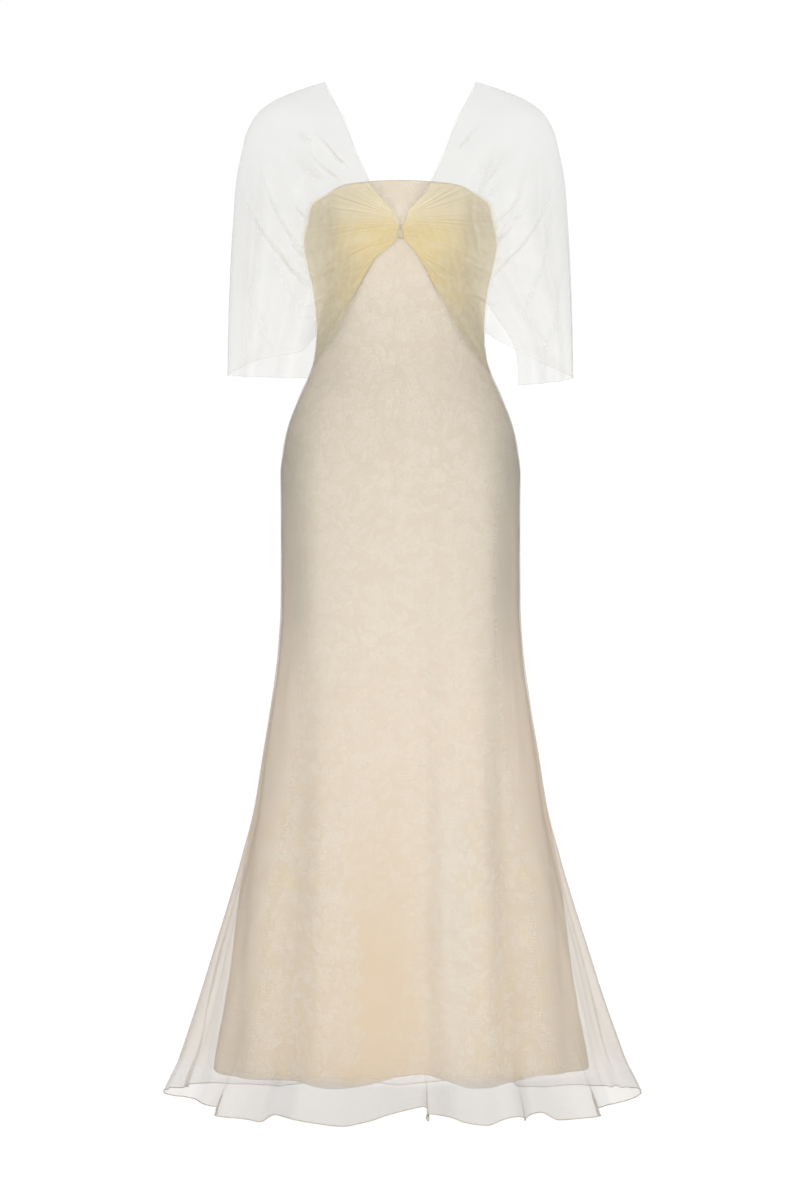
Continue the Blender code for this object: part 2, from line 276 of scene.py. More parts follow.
CAPE = Table(
    ("z", "half", "front", "back"),
    (0, 109, 5, 5),
    (-6, 129, 15, 13),
    (-12, 146, 23, 20),
    (-20, 167, 33, 28),
    (-29, 185, 43, 36),
    (-46, 206, 59, 49),
    (-63, 217, 71, 59),
    (-81, 224, 83, 68),
    (-98, 228, 94, 76),
    (-132, 235, 112, 88),
    (-155, 238, 121, 95),
    (-200, 241, 131, 104),
    (-230, 243, 133, 107),
    (-270, 245, 127, 107),
    (-323, 247, 116, 104),
    (-372, 248, 104, 98),
    (-422, 248.5, 92, 92),
    (-440, 248.5, 88, 90),
)
RAY = ("turn", "x1", "z1", "w1", "x2", "z2", "w2", "x3", "z3", "w3")
RAYS = (
    (0, 53, -288, 0, 86, -357, 0, 999, -415, 0),
    (1, 47, -272, 0, 94, -322, 0, 999, -366, 0),
    (2, 42, -262, 0, 98, -301, 0.03, 145, -389, 0.2),
    (3, 40, -252, 0, 104, -290, 0.12, 201, -401, 0.75),
    (4, 38, -243, 0, 112, -280, 0.3, 999, -422, 1),
    (5, 37, -236, 0, 120, -270, 0.5, 999, -380, 1),
    (6, 37, -230, 0, 126, -258, 0.6, 999, -330, 1),
    (7, 37, -224, 0, 130, -246, 0.65, 999, -280, 1),
    (8, 38, -218, 0, 132, -232, 0.7, 999, -230, 1),
    (9, 38, -212, 0, 134, -216, 0.75, 999, -180, 1),
    (10, 38, -206, 0, 136, -196, 0.8, 999, -135, 1),
    (11, 38, -200, 0, 134, -176, 0.85, 999, -98, 1),
    (12, 38, -193, 0.05, 128, -156, 0.9, 999, -70, 1),
    (13, 38, -186, 0.1, 120, -136, 0.95, 999, -46, 1),
    (14, 39, -177, 0.2, 108, -116, 0.98, 999, -28, 1),
    (15, 40, -167, 0.3, 94, -98, 1, 999, -12, 1),
    (16, 42, -155, 0.45, 76, -76, 1, 999, 0, 1),
)
RAYS_RIGHT = {
    0: (0, 47, -297, 0, 82, -366, 0, 999, -424, 0),
    1: (1, 44, -277, 0, 93, -326, 0, 999, -362, 0),
    2: (2, 42, -264, 0, 99, -302, 0.03, 140, -372, 0.15),
    3: (3, 40, -253, 0, 105, -290, 0.12, 195, -402, 0.72),
    4: (4, 38, -243, 0, 112, -280, 0.3, 999, -425, 1),
}
KNOT_X, KNOT_TOP, KNOT_FOOT = 3.5, -223, -233
BACK_EDGE = Table(
    ("z", "left", "right"),
    (0, 109, 109),
    (-12, 100, 100),
    (-46, 82, 82),
    (-98, 64, 64),
    (-150, 43, 43),
    (-200, 47, 48),
    (-260, 64, 84),
    (-330, 90, 138),
    (-380, 108, 167),
    (-400, 113, 171),
    (-425, 118, 172),
    (-436, 120, 172),
)
BACK_RIDGE = (0, -6, -12, -20, -28, -37, -46, -58, -70)
BACK_HEM = {"left": (-423, -422), "right": (-434, -425)}

# Creases, each a soft ridge (high above 0) or trough (below 0) along a line from one end to the other, by the distance
# across and the height, as seen from the front (or, for the back ones, through from the front). bend is how far the
# line bows out halfway, and line is how doubled the cloth on it is, shown as more opaque cloth with painted shade.
CREASE = ("x1", "z1", "x2", "z2", "bend", "wide", "high", "line")
OVERSKIRT_CREASES = (
    (52, -498, 56, -572, 1, 3.5, 1.2, 0),
    (61, -520, 60, -590, 1, 3.0, -0.8, 0),
    (-76, -700, -79, -764, -1, 4.0, 1.2, 0),
    (-88, -690, -90, -770, -1, 3.5, -0.7, 0),
    (36, -262, 38, -318, 1, 4.0, 1.0, 0),
    (20, -520, 26, -640, 2, 5.0, 0.7, 0),
    (-30, -560, -36, -700, -2, 6.0, 0.8, 0),
    (-128, -450, -150, -600, 3, 7.0, 1.4, 0),
    (-112, -440, -128, -560, 3, 6.0, -1.0, 0),
    (128, -450, 152, -610, -3, 7.0, 1.4, 0),
    (108, -440, 126, -560, -3, 6.0, -1.0, 0),
    (90, -760, 104, -900, 2, 7.0, 1.2, 0),
    (-60, -820, -70, -980, 2, 8.0, 1.2, 0),
    (-20, -900, -24, -1080, 1, 8.0, 1.0, 0),
    (58, -860, 66, -1040, 1, 8.0, 1.1, 0),
    (150, -800, 168, -1000, -2, 7.0, 1.2, 0),
    (-150, -800, -166, -1000, 2, 7.0, 1.2, 0),
    (-138, -610, -140, -1040, 1, 9.0, -3.6, 0),
    (-164, -650, -184, -1040, 2, 9.0, 0.8, 0),
    (-118, -640, -120, -1010, 1, 9.0, 1.4, 0),
    (145, -600, 150, -1040, -1, 9.0, -3.4, 0),
    (168, -650, 188, -1040, -2, 9.0, 0.8, 0),
    (124, -640, 126, -1010, -1, 9.0, 1.2, 0),
)
BACK_CREASES = (
    (-40, -420, -52, -560, 2, 6.0, 1.3, 0),
    (44, -430, 56, -580, -2, 6.0, 1.2, 0),
    (-86, -440, -104, -600, 2, 6.5, -1.2, 0),
    (92, -440, 108, -590, -2, 6.5, -1.2, 0),
    (-30, -640, -36, -800, 1, 7.0, 1.1, 0),
    (64, -660, 70, -820, -1, 7.0, 1.2, 0),
    (-100, -760, -112, -930, 2, 7.5, 1.3, 0),
    (118, -780, 130, -950, -2, 7.5, 1.2, 0),
    (12, -840, 16, -1010, 1, 8.0, 1.0, 0),
    (-64, -900, -70, -1080, 1, 8.0, 1.0, 0),
    (-132, -660, -140, -1010, 2, 8.5, -2.4, 0),
    (134, -660, 142, -1010, -2, 8.5, -2.4, 0),
)
DRAPE_CREASES = {
    "left": (
        (-230, -150, -130, -300, 12.0, 2.6, 2.2, 0.8),
        (-226, -160, -134, -302, 11.0, 2.2, -1.6, 0.0),
        (-199, -132, -142, -249, 7.7, 2.2, 1.8, 0.6),
        (-156, -181, -134, -206, 0.5, 1.8, 1.5, 0.5),
        (-159, -236, -137, -259, 0.5, 1.7, 1.8, 0.7),
        (-153, -231, -136, -249, 0.5, 1.5, 1.4, 0.4),
        (-122, -80, -79, -131, 1.0, 2.0, 1.4, 0.5),
        (-132, -110, -88, -151, 2.0, 2.6, 1.4, 0.35),
        (-158, -117, -114, -156, 1.0, 8.0, 2.2, 0.22),
        (-155, -78, -128, -96, 1.0, 6.0, 1.2, 0.16),
        (-150, -324, -124, -326, 0.5, 2.6, 1.4, 0.3),
        (-147, -341, -126, -343, 0.5, 2.6, 1.4, 0.3),
        (-62, -296, -126, -384, 0.0, 5.0, -2.6, 0.0),
        (-111, -326, -122, -340, 0.0, 2.2, 1.8, 0.1),
        (-106, -360, -125, -386, 0.0, 2.2, 2.0, 0.1),
        (-90, -318, -128, -352, 0.0, 3.0, 1.6, 0.1),
        (-80, -300, -130, -322, 0.0, 3.0, 1.4, 0.1),
        (-84, -270, -132, -290, 0.0, 3.4, 1.4, 0.0),
        (-104, -170, -112, -262, -3.0, 3.4, -2.2, 0.28),
        (-100, -196, -97, -300, -2.0, 6.0, -1.6, 0.18),
    ),
    "right": (
        (229, -128, 131, -285, -11.0, 2.3, 2.0, 0.55),
        (222, -128, 128, -278, -10.0, 2.0, -1.4, 0.0),
        (172, -160, 136, -210, -3.0, 2.2, 1.6, 0.4),
        (184, -180, 158, -208, -1.0, 2.0, 1.2, 0.3),
        (160, -213, 137, -236, 0.0, 1.5, 1.8, 0.9),
        (113, -66, 82, -102, -1.0, 2.2, 1.3, 0.4),
        (151, -109, 114, -158, -1.5, 2.6, 1.5, 0.35),
        (143, -155, 122, -172, 0.0, 2.2, 1.3, 0.3),
        (158, -103, 110, -138, -1.0, 8.0, 2.0, 0.2),
        (150, -318, 128, -322, 0.5, 2.6, 1.2, 0.2),
        (52, -298, 138, -428, 0.0, 5.0, -2.4, 0.0),
        (92, -310, 121, -344, 0.0, 2.4, 2.0, 0.1),
        (96, -358, 128, -402, 0.0, 2.4, 2.0, 0.1),
        (74, -296, 128, -318, 0.0, 3.0, 1.5, 0.1),
        (84, -262, 132, -282, 0.0, 3.4, 1.4, 0.0),
        (102, -170, 114, -262, 3.0, 3.4, -2.0, 0.25),
        (100, -200, 99, -300, 2.0, 6.0, -1.5, 0.15),
    ),
}
SLEEVE_CREASES = {
    "left": (
        (-226, -120, -150, -330, 6, 5.0, 2.2, 0.1),
        (-190, -70, -110, -280, 5, 5.0, 2.0, 0.1),
        (-150, -46, -80, -210, 4, 4.6, 1.8, 0.1),
        (-232, -210, -190, -390, 5, 5.5, 2.2, 0.1),
    ),
    "right": (
        (228, -130, 176, -330, -6, 5.0, 2.2, 0.1),
        (192, -72, 120, -270, -5, 5.0, 2.0, 0.1),
        (152, -46, 84, -200, -4, 4.6, 1.8, 0.1),
        (234, -220, 206, -390, -5, 5.5, 2.0, 0.1),
    ),
}


def ease(at, start, end):
    t = np.clip((np.asarray(at, float) - start) / (end - start), 0, 1)
    return t * t * (3 - 2 * t)


def power(value, e):
    return np.sign(value) * np.abs(value) ** e


def cups(x, z):
    tall = np.where(z > CUP_Z, CUP_TALL * 1.15, CUP_TALL * 0.95)
    off = ((np.abs(x) - CUP_X) / CUP_WIDE) ** 2 + ((z - CUP_Z) / tall) ** 2
    return CUP_DEEP * np.exp(-off)


def turned(angle):
    return (np.asarray(angle, float) + 180) % 360 - 180


def fold_angle(angle, z):
    """The angle at which a fold's line meets the hem, for a point higher up it."""
    a = turned(angle)
    r = np.radians(a)
    hang = FOLDS_HANG * ease(np.abs(np.cos(r)), 0.0, 0.45)
    here = BODY("half", z)
    wide = here + hang * (BODY("half", -1440.0) - here)
    share = np.clip(power(np.abs(np.sin(r)), BODY_SQUARE) * here / wide, 0, 1)
    low = np.degrees(np.arcsin(share ** (1 / BODY_SQUARE)))
    low = np.where(np.abs(a) <= 90, low, 180 - low)
    return np.where(hang > 0, np.sign(a) * low, a)


def body(angle, z, flared=False):
    """A point of the lace layer's outside, or of the flared overskirt."""
    a = np.radians(angle)
    front = np.abs(turned(angle)) <= 90
    half = BODY("half", z)
    depth = np.where(front, BODY("front", z), BODY("back", z))
    if flared:
        half = half + FLARE("half", z)
        depth = depth + np.where(front, FLARE("front", z), FLARE("back", z))
    x = half * power(np.sin(a), BODY_SQUARE)
    y = -depth * power(np.cos(a), BODY_SQUARE)
    y = y - cups(x, z) * np.clip(np.cos(a), 0, 1)
    fold = FOLDS("push", fold_angle(angle, z)) * ease(z, FOLDS_FROM, FOLDS_FULL)
    if flared:
        fold = fold * (1 + SWING * ease(z, SWING_FROM, SWING_FULL))
    return np.stack([x + fold * np.sin(a), y - fold * np.cos(a), z], axis=-1)


def grid_normals(points, away_from=(0.0, 0.0)):
    """Unit normals of a grid, pointing away from the upright line through away_from."""
    n = np.cross(np.gradient(points, axis=0), np.gradient(points, axis=1))
    n = n / np.maximum(np.linalg.norm(n, axis=-1, keepdims=True), 1e-9)
    out = (points[..., 0] - away_from[0]) * n[..., 0] + (
        points[..., 1] - away_from[1]
    ) * n[..., 1]
    return n * np.where(out.sum() < 0, -1.0, 1.0)


def creased(x, z, rows):
    """How far a surface is pushed out at (x, z) by a list of creases, and how doubled the cloth is there (more opaque,
    with painted shade).
    """
    push = np.zeros(np.broadcast(x, z).shape)
    line = np.zeros_like(push)
    for row in rows:
        c = dict(zip(CREASE, row))
        dx, dz = c["x2"] - c["x1"], c["z2"] - c["z1"]
        length = math.hypot(dx, dz)
        along = ((x - c["x1"]) * dx + (z - c["z1"]) * dz) / length**2
        side = ((x - c["x1"]) * dz - (z - c["z1"]) * dx) / length
        side = side - c["bend"] * 4 * along * (1 - along)
        side = side + 0.008 * length * np.sin(9.0 * along + c["x1"])
        ends = ease(along, -0.1, 0.35) * (1 - ease(along, 0.8, 1.1))
        push = push + c["high"] * np.exp(-((side / c["wide"]) ** 2)) * ends
        thin = np.exp(-(((side + 0.6 * c["wide"]) / (0.8 * c["wide"])) ** 2))
        line = np.maximum(line, c["line"] * thin * ends * (0.25 + 1.0 * ease(along, 0.1, 1)))
    return push, line


def waves(at, *parts):
    """A sum of sines, each by its wave length, height and start."""
    return sum(h * np.sin(2 * np.pi * at / w + s) for w, h, s in parts)


# ---------------------------------------------------------------- meshes


def sheet_mesh(name, points, uv, facts, smooth=True):
    """An open grid of points in millimetres as a mesh, with its UV map in metres and a number for each point by name."""
    rows, columns = points.shape[:2]
    index = np.arange(rows * columns).reshape(rows, columns)
    quads = np.stack(
        [index[:-1, :-1], index[:-1, 1:], index[1:, 1:], index[1:, :-1]], axis=-1
    ).reshape(-1, 4)
    spots = points.reshape(-1, 3) * MM
    mesh = bpy.data.meshes.new(name)
    mesh.vertices.add(len(spots))
    mesh.vertices.foreach_set("co", spots.astype(np.float32).ravel())
    mesh.loops.add(quads.size)
    mesh.loops.foreach_set("vertex_index", quads.astype(np.int32).ravel())
    mesh.polygons.add(len(quads))
    mesh.polygons.foreach_set(
        "loop_start", np.arange(0, quads.size, 4, dtype=np.int32)
    )
    mesh.update(calc_edges=True)
    mesh.validate()
    mesh.polygons.foreach_set("use_smooth", np.full(len(mesh.polygons), smooth))
    layer = mesh.uv_layers.new(name="cut")
    flat = uv.reshape(-1, 2)[quads.ravel()]
    layer.uv.foreach_set("vector", flat.astype(np.float32).ravel())
    for key, value in facts.items():
        attribute = mesh.attributes.new(key, "FLOAT", "POINT")
        values = np.broadcast_to(value, (rows, columns)).astype(np.float32)
        attribute.data.foreach_set("value", values.ravel())
    thing = bpy.data.objects.new(name, mesh)
    bpy.context.scene.collection.objects.link(thing)
    return thing


def bead(name, path, radius, sides=8, loop=False):
    """A thin round roll of cloth along a path in millimetres, closed at its ends."""
    path = np.asarray(path, float)
    step = np.linalg.norm(np.diff(path, axis=0), axis=1)
    path = path[np.concatenate([[True], step > 1e-4])]
    count = len(path)
    if loop:
        tangent = np.roll(path, -1, axis=0) - np.roll(path, 1, axis=0)
    else:
        tangent = np.gradient(path, axis=0)
    tangent /= np.linalg.norm(tangent, axis=1, keepdims=True)
    side = np.cross(tangent[0], (0.3, 0.2, 1.0))
    frames = []
    for t in tangent:
        side = side - t * np.dot(side, t)
        side = side / np.linalg.norm(side)
        frames.append((side, np.cross(t, side)))
    turn = np.linspace(0, 2 * np.pi, sides, endpoint=False)
    rings = [
        p + radius * (np.cos(turn)[:, None] * a + np.sin(turn)[:, None] * b)
        for p, (a, b) in zip(path, frames)
    ]
    spots = np.concatenate(rings)
    faces = []
    last = count if loop else count - 1
    for i in range(last):
        for k in range(sides):
            a, b = i * sides + k, i * sides + (k + 1) % sides
            m = (i + 1) % count
            c, d = m * sides + (k + 1) % sides, m * sides + k
            faces.append((a, b, c, d))
    if not loop:
        faces.append(tuple(range(sides))[::-1])
        faces.append(tuple((count - 1) * sides + k for k in range(sides)))
    mesh = bpy.data.meshes.new(name)
    mesh.from_pydata((spots * MM).tolist(), [], faces)
    mesh.update()
    mesh.polygons.foreach_set("use_smooth", np.ones(len(mesh.polygons), bool))
    thing = bpy.data.objects.new(name, mesh)
    bpy.context.scene.collection.objects.link(thing)
    return thing


def lengths(points, axis):
    """Arc length along an axis of a grid, from its first point, in metres."""
    step = np.linalg.norm(np.diff(points, axis=axis), axis=-1)
    start = np.zeros_like(np.take(step, [0], axis=axis))
    return np.concatenate([start, np.cumsum(step, axis=axis)], axis=axis) * MM


# ---------------------------------------------------------------- shaders


class Num:
    """A number that a shader works out at each point. Arithmetic on it adds Math nodes."""

    def __init__(self, tree, out):
        self.tree, self.out = tree, out

    def op(self, kind, *others):
        node = self.tree.nodes.new("ShaderNodeMath")
        node.operation = kind
        for i, value in enumerate((self, *others)):
            if isinstance(value, Num):
                self.tree.links.new(value.out, node.inputs[i])
            else:
                node.inputs[i].default_value = value
        return Num(self.tree, node.outputs[0])

    def __add__(self, o):
        return self.op("ADD", o)

    __radd__ = __add__

    def __sub__(self, o):
        return self.op("SUBTRACT", o)

    def __rsub__(self, o):
        return self.op("MULTIPLY", -1.0).op("ADD", o)

    def __mul__(self, o):
        return self.op("MULTIPLY", o)

    __rmul__ = __mul__

    def __truediv__(self, o):
        return self.op("DIVIDE", o)

    def sin(self):
        return self.op("SINE")

    def cos(self):
        return self.op("COSINE")

    def abs(self):
        return self.op("ABSOLUTE")

    def sqrt(self):
        return self.op("SQRT")

    def least(self, o):
        return self.op("MINIMUM", o)

    def most(self, o):
        return self.op("MAXIMUM", o)

    def smooth(self, low, high):
        """0 up to low and 1 from high on, with a soft step between."""
        node = self.tree.nodes.new("ShaderNodeMapRange")
        node.interpolation_type = "SMOOTHSTEP"
        self.tree.links.new(self.out, node.inputs["Value"])
        node.inputs["From Min"].default_value = low
        node.inputs["From Max"].default_value = high
        return Num(self.tree, node.outputs["Result"])


class Paint:
    """Helpers for one material's nodes."""

    def __init__(self, name):
        self.material = bpy.data.materials.new(name)
        self.material.use_nodes = True
        self.tree = self.material.node_tree
        self.shader = self.tree.nodes["Principled BSDF"]

    def node(self, kind, **settings):
        made = self.tree.nodes.new(kind)
        for key, value in settings.items():
            setattr(made, key, value)
        return made

    def put(self, socket, value):
        if isinstance(value, Num):
            self.tree.links.new(value.out, socket)
        elif hasattr(value, "is_linked"):
            self.tree.links.new(value, socket)
        else:
            socket.default_value = value

    def flat(self):
        """The two coordinates of the cloth's cut, in metres."""
        cut = self.node("ShaderNodeUVMap", uv_map="cut")
        split = self.node("ShaderNodeSeparateXYZ")
        self.tree.links.new(cut.outputs[0], split.inputs[0])
        return Num(self.tree, split.outputs[0]), Num(self.tree, split.outputs[1])

    def fact(self, name):
        """A number that the mesh gives at each point."""
        node = self.node("ShaderNodeAttribute", attribute_name=name)
        return Num(self.tree, node.outputs["Fac"])

    def pair(self, x, y):
        node = self.node("ShaderNodeCombineXYZ")
        self.put(node.inputs[0], x)
        self.put(node.inputs[1], y)
        return node.outputs[0]

    def cells(self, x, y, size, uneven, feature="F1"):
        node = self.node(
            "ShaderNodeTexVoronoi", voronoi_dimensions="2D", feature=feature
        )
        self.put(node.inputs["Vector"], self.pair(x, y))
        node.inputs["Scale"].default_value = 1 / size
        node.inputs["Randomness"].default_value = uneven
        return node

    def noise(self, x, y, size, detail=2.0, rough=0.5):
        node = self.node("ShaderNodeTexNoise", noise_dimensions="2D")
        self.put(node.inputs["Vector"], self.pair(x, y))
        node.inputs["Scale"].default_value = 1 / size
        node.inputs["Detail"].default_value = detail
        node.inputs["Roughness"].default_value = rough
        return Num(self.tree, node.outputs["Fac"])

    def local(self, x, y, size, uneven, shift):
        """Around the nearest of many scattered spots: two coordinates turned by a random angle, and a random number."""
        cell = self.cells(x + shift, y + shift * 0.37, size, uneven)
        at = self.node("ShaderNodeSeparateXYZ")
        self.tree.links.new(cell.outputs["Position"], at.inputs[0])
        dx = x + shift - Num(self.tree, at.outputs[0])
        dy = y + shift * 0.37 - Num(self.tree, at.outputs[1])
        chance = self.node("ShaderNodeSeparateColor")
        self.tree.links.new(cell.outputs["Color"], chance.inputs[0])
        r1 = Num(self.tree, chance.outputs[0])
        r2 = Num(self.tree, chance.outputs[1])
        spin = r1 * 6.2832
        c, s = spin.cos(), spin.sin()
        return dx * c + dy * s, dy * c - dx * s, r2

    def mix(self, share, a, b):
        node = self.node("ShaderNodeMix", data_type="RGBA")
        self.put(node.inputs[0], share)
        self.put(node.inputs[6], a)
        self.put(node.inputs[7], b)
        return node.outputs[2]

    def bump(self, height, distance, strength=1.0):
        node = self.node("ShaderNodeBump")
        node.inputs["Distance"].default_value = distance
        node.inputs["Strength"].default_value = strength
        self.put(node.inputs["Height"], height)
        self.tree.links.new(node.outputs[0], self.shader.inputs["Normal"])


def flower(paint, x, y, cell, uneven, shift, petals, radius):
    """A scatter of open flowers: how solid the lace is there, and how raised."""
    lx, ly, chance = paint.local(x, y, cell, uneven, shift)
    away = (lx * lx + ly * ly).sqrt()
    turn = ly.op("ARCTAN2", lx)
    size = chance * (0.35 * radius) + 0.75 * radius
    petal = (turn * (petals / 2)).cos().abs().op("POWER", 0.7)
    edge = size * (petal * 0.42 + 0.58)
    inside = (edge - away).smooth(0, 0.0006)
    rim = 1 - (edge - away).abs().smooth(0.0005, 0.0013)
    inner = (edge * 0.62 - away).abs()
    inner_rim = 1 - inner.smooth(0.0003, 0.0009)
    rays = (turn * (petals * 4)).cos().smooth(0.55, 0.95) * (away / size).smooth(
        0.2, 0.5
    )
    heart = 1 - away.smooth(0.0016, 0.0026)
    solid = inside * (0.3 + 0.4 * rays)
    return (
        solid.most(rim * 0.95).most(inner_rim * inside * 0.8).most(heart),
        rim.most(heart) * 0.9 + inside * 0.4,
    )


def leaf(paint, x, y, cell, uneven, shift, length, width):
    """A scatter of leaves with a midrib and side veins."""
    lx, ly, chance = paint.local(x, y, cell, uneven, shift)
    size = chance * 0.4 + 0.75
    t = lx / (size * length)
    half = (1 - t * t).most(0.0) * (size * width)
    inside = (half - ly.abs()).smooth(0, 0.0005)
    rim = (1 - (half - ly.abs()).abs().smooth(0.0004, 0.001)) * (
        1 - t.abs().smooth(0.98, 1.02)
    )
    rib = (1 - ly.abs().smooth(0.0003, 0.0007)) * inside
    veins = ((lx - ly.abs() * 0.8) * 2200.0).sin().smooth(0.4, 0.9) * inside
    return (
        (inside * 0.24 + veins * 0.3).most(rim).most(rib),
        rim * 0.8 + inside * 0.3,
    )


def lace_paint():
    """Cream lace with flowers, leaves and stems on a fine net, over a warm matt lining."""
    p = Paint("cream_lace")
    u, v = p.flat()
    drift = p.noise(u, v, 0.05, 2.0) - 0.5
    x, y = u + drift * 0.006, v + drift * 0.005
    big, big_up = flower(p, x, y, 0.062, 0.6, 0.0, 5, 0.021)
    small, small_up = flower(p, x, y, 0.041, 0.9, 3.17, 6, 0.0095)
    leaves, leaves_up = leaf(p, x, y, 0.034, 0.85, 5.31, 0.0135, 0.0052)
    sprigs, sprigs_up = leaf(p, x, y, 0.019, 0.95, 7.77, 0.0072, 0.0027)
    stems = p.cells(x + drift * 0.03, y, 0.047, 0.95, "DISTANCE_TO_EDGE")
    stem = 1 - Num(p.tree, stems.outputs["Distance"]).smooth(0.012, 0.03)
    net = p.cells(u, v, 0.0026, 0.3, "DISTANCE_TO_EDGE")
    net = 1 - Num(p.tree, net.outputs["Distance"]).smooth(0.06, 0.2)
    dense = p.noise(u, v, 0.11, 2.0).smooth(0.38, 0.62)
    motif = (big * 0.9).most(small).most(leaves).most(sprigs).most(stem * 0.35)
    cover = motif.most(net * 0.3)
    warm, bare, bodice_painted_shade = p.fact("warm"), p.fact("bare"), p.fact("bodice_painted_shade")
    petals = p.cells(x, y * 0.55, 0.017, 0.9)
    torn = Num(p.tree, petals.outputs["Distance"]) * 0.5 + p.noise(u, v, 0.03, 2.0) * 0.5
    bare = (bare + (torn - 0.42) * 1.2).smooth(0.38, 0.68) * p.fact("strong")
    bare = bare * (0.55 + 0.45 * p.noise(u, v * 0.6, 0.045, 2.0).smooth(0.35, 0.6))
    cover = cover * (1 - 0.75 * bare)
    lining = p.mix(warm, (0.755, 0.67, 0.545, 1), (0.82, 0.65, 0.45, 1))
    thread = p.mix(warm, (0.855, 0.79, 0.695, 1), (0.87, 0.765, 0.62, 1))
    # Painted shade: lining and threads are darker from the waist up, fading out by the knees.
    lining = p.mix(bodice_painted_shade, lining, (0.66, 0.58, 0.455, 1))
    thread = p.mix(bodice_painted_shade, thread, (0.79, 0.725, 0.61, 1))
    shown = (cover * (0.74 + 0.26 * dense)).smooth(0.0, 1.0)
    fleck = p.noise(x, y, 0.0045, 2.0).smooth(0.3, 0.7) - 0.5
    bold = p.fact("bold")
    shown = (shown - 0.45) * (0.58 + 0.06 * bodice_painted_shade + 0.36 * bold) + 0.45
    shown = shown + fleck * (0.05 + 0.16 * bodice_painted_shade)
    ground = p.mix(shown, lining, thread)
    ground = p.mix(bare * 0.62, ground, (0.83, 0.64, 0.42, 1))
    gilt = p.noise(u, v * 0.6, 0.024, 2.0).smooth(0.52, 0.68) * bold * 0.5
    ground = p.mix(gilt, ground, (0.81, 0.69, 0.45, 1))
    # Painted shade at the sides of the hips and beside the drapes' lower edges, and a slight darkening low near the
    # centre.
    painted_shade = p.fact("painted_shade") * 0.5
    p.put(p.shader.inputs["Base Color"], p.mix(painted_shade, ground, (0.3, 0.28, 0.21, 1)))
    p.put(p.shader.inputs["Roughness"], 0.86 - 0.2 * motif)
    p.shader.inputs["Specular IOR Level"].default_value = 0.25
    p.shader.inputs["Sheen Weight"].default_value = 0.08
    raised = big_up.most(small_up).most(leaves_up).most(sprigs_up).most(stem * 0.3)
    p.bump(
        raised * (1 - 0.85 * bare) + net * 0.2,
        0.0006,
        0.6,
    )
    return p.material


def weave(p, x, y):
    """Uneven threads both ways, from 0 to 1."""
    warp = p.noise(x, y * 0.02, 0.0007, 1.0)
    weft = p.noise(x * 0.02, y, 0.0008, 1.0)
    return (warp + weft) * 0.5


def overskirt_paint():
    p = Paint("ivory_chiffon")
    u, v = p.flat()
    thread = weave(p, u, v)
    cloud = p.noise(u, v, 0.09, 3.0)
    dense, veil = p.fact("dense"), p.fact("veil")
    colour = p.mix(cloud, (0.8, 0.725, 0.635, 1), (0.86, 0.795, 0.715, 1))
    colour = p.mix(veil, colour, (0.83, 0.71, 0.58, 1))
    colour = p.mix(p.fact("cool") * 0.85, colour, (0.6, 0.585, 0.565, 1))
    # Painted shade: doubled cloth in tucks and creases is darkened, on top of growing more opaque.
    shade = p.mix(dense, colour, (0.62, 0.54, 0.45, 1))
    p.put(p.shader.inputs["Base Color"], shade)
    alpha = 0.22 + 0.1 * thread + 0.38 * veil + 0.36 * dense
    p.put(p.shader.inputs["Alpha"], alpha.least(1.0))
    p.put(p.shader.inputs["Roughness"], 0.62 + 0.2 * thread)
    p.shader.inputs["Specular IOR Level"].default_value = 0.2
    p.shader.inputs["Sheen Weight"].default_value = 0.1
    p.bump(thread, 0.0003, 0.5)
    return p.material


def drape_paint():
    p = Paint("yellow_chiffon")
    u, v = p.flat()
    thread = weave(p, u, v)
    gold, dense = p.fact("gold"), p.fact("dense")
    over, shade = p.fact("over"), p.fact("shade")
    pale = p.mix(over, (0.75, 0.745, 0.71, 1), (0.68, 0.61, 0.45, 1))
    yellow = p.mix(thread, (0.8, 0.64, 0.325, 1), (0.81, 0.665, 0.35, 1))
    colour = p.mix(gold, pale, yellow)
    # Painted shade on the sides of the cups and under them.
    colour = p.mix(shade, colour, (0.47, 0.41, 0.28, 1))
    blotch = p.noise(u, v, 0.012, 2.0).smooth(0.42, 0.62)
    colour = p.mix(blotch * over * 0.25, colour, (0.83, 0.77, 0.6, 1))
    # Painted highlight: lighter cloth on the upper cups, beside the body's sides and along the free edges.
    colour = p.mix(p.fact("crown") * 0.65, colour, (0.92, 0.85, 0.66, 1))
    # Painted shade: doubled cloth in creases and on steep gathers is darkened, besides being more opaque.
    shaded = p.mix(dense * 0.8, colour, (0.52, 0.48, 0.36, 1))
    p.put(p.shader.inputs["Base Color"], shaded)
    alpha = 0.235 + 0.02 * thread + 0.38 * over + 0.14 * gold + 0.55 * dense
    alpha = alpha * (1 - p.fact("thin") * 0.85)
    p.put(p.shader.inputs["Alpha"], alpha.least(0.97))
    p.put(p.shader.inputs["Roughness"], 0.55 + 0.25 * thread)
    p.shader.inputs["Specular IOR Level"].default_value = 0.25
    p.shader.inputs["Sheen Weight"].default_value = 0.12
    p.bump(thread, 0.0002, 0.05)
    return p.material


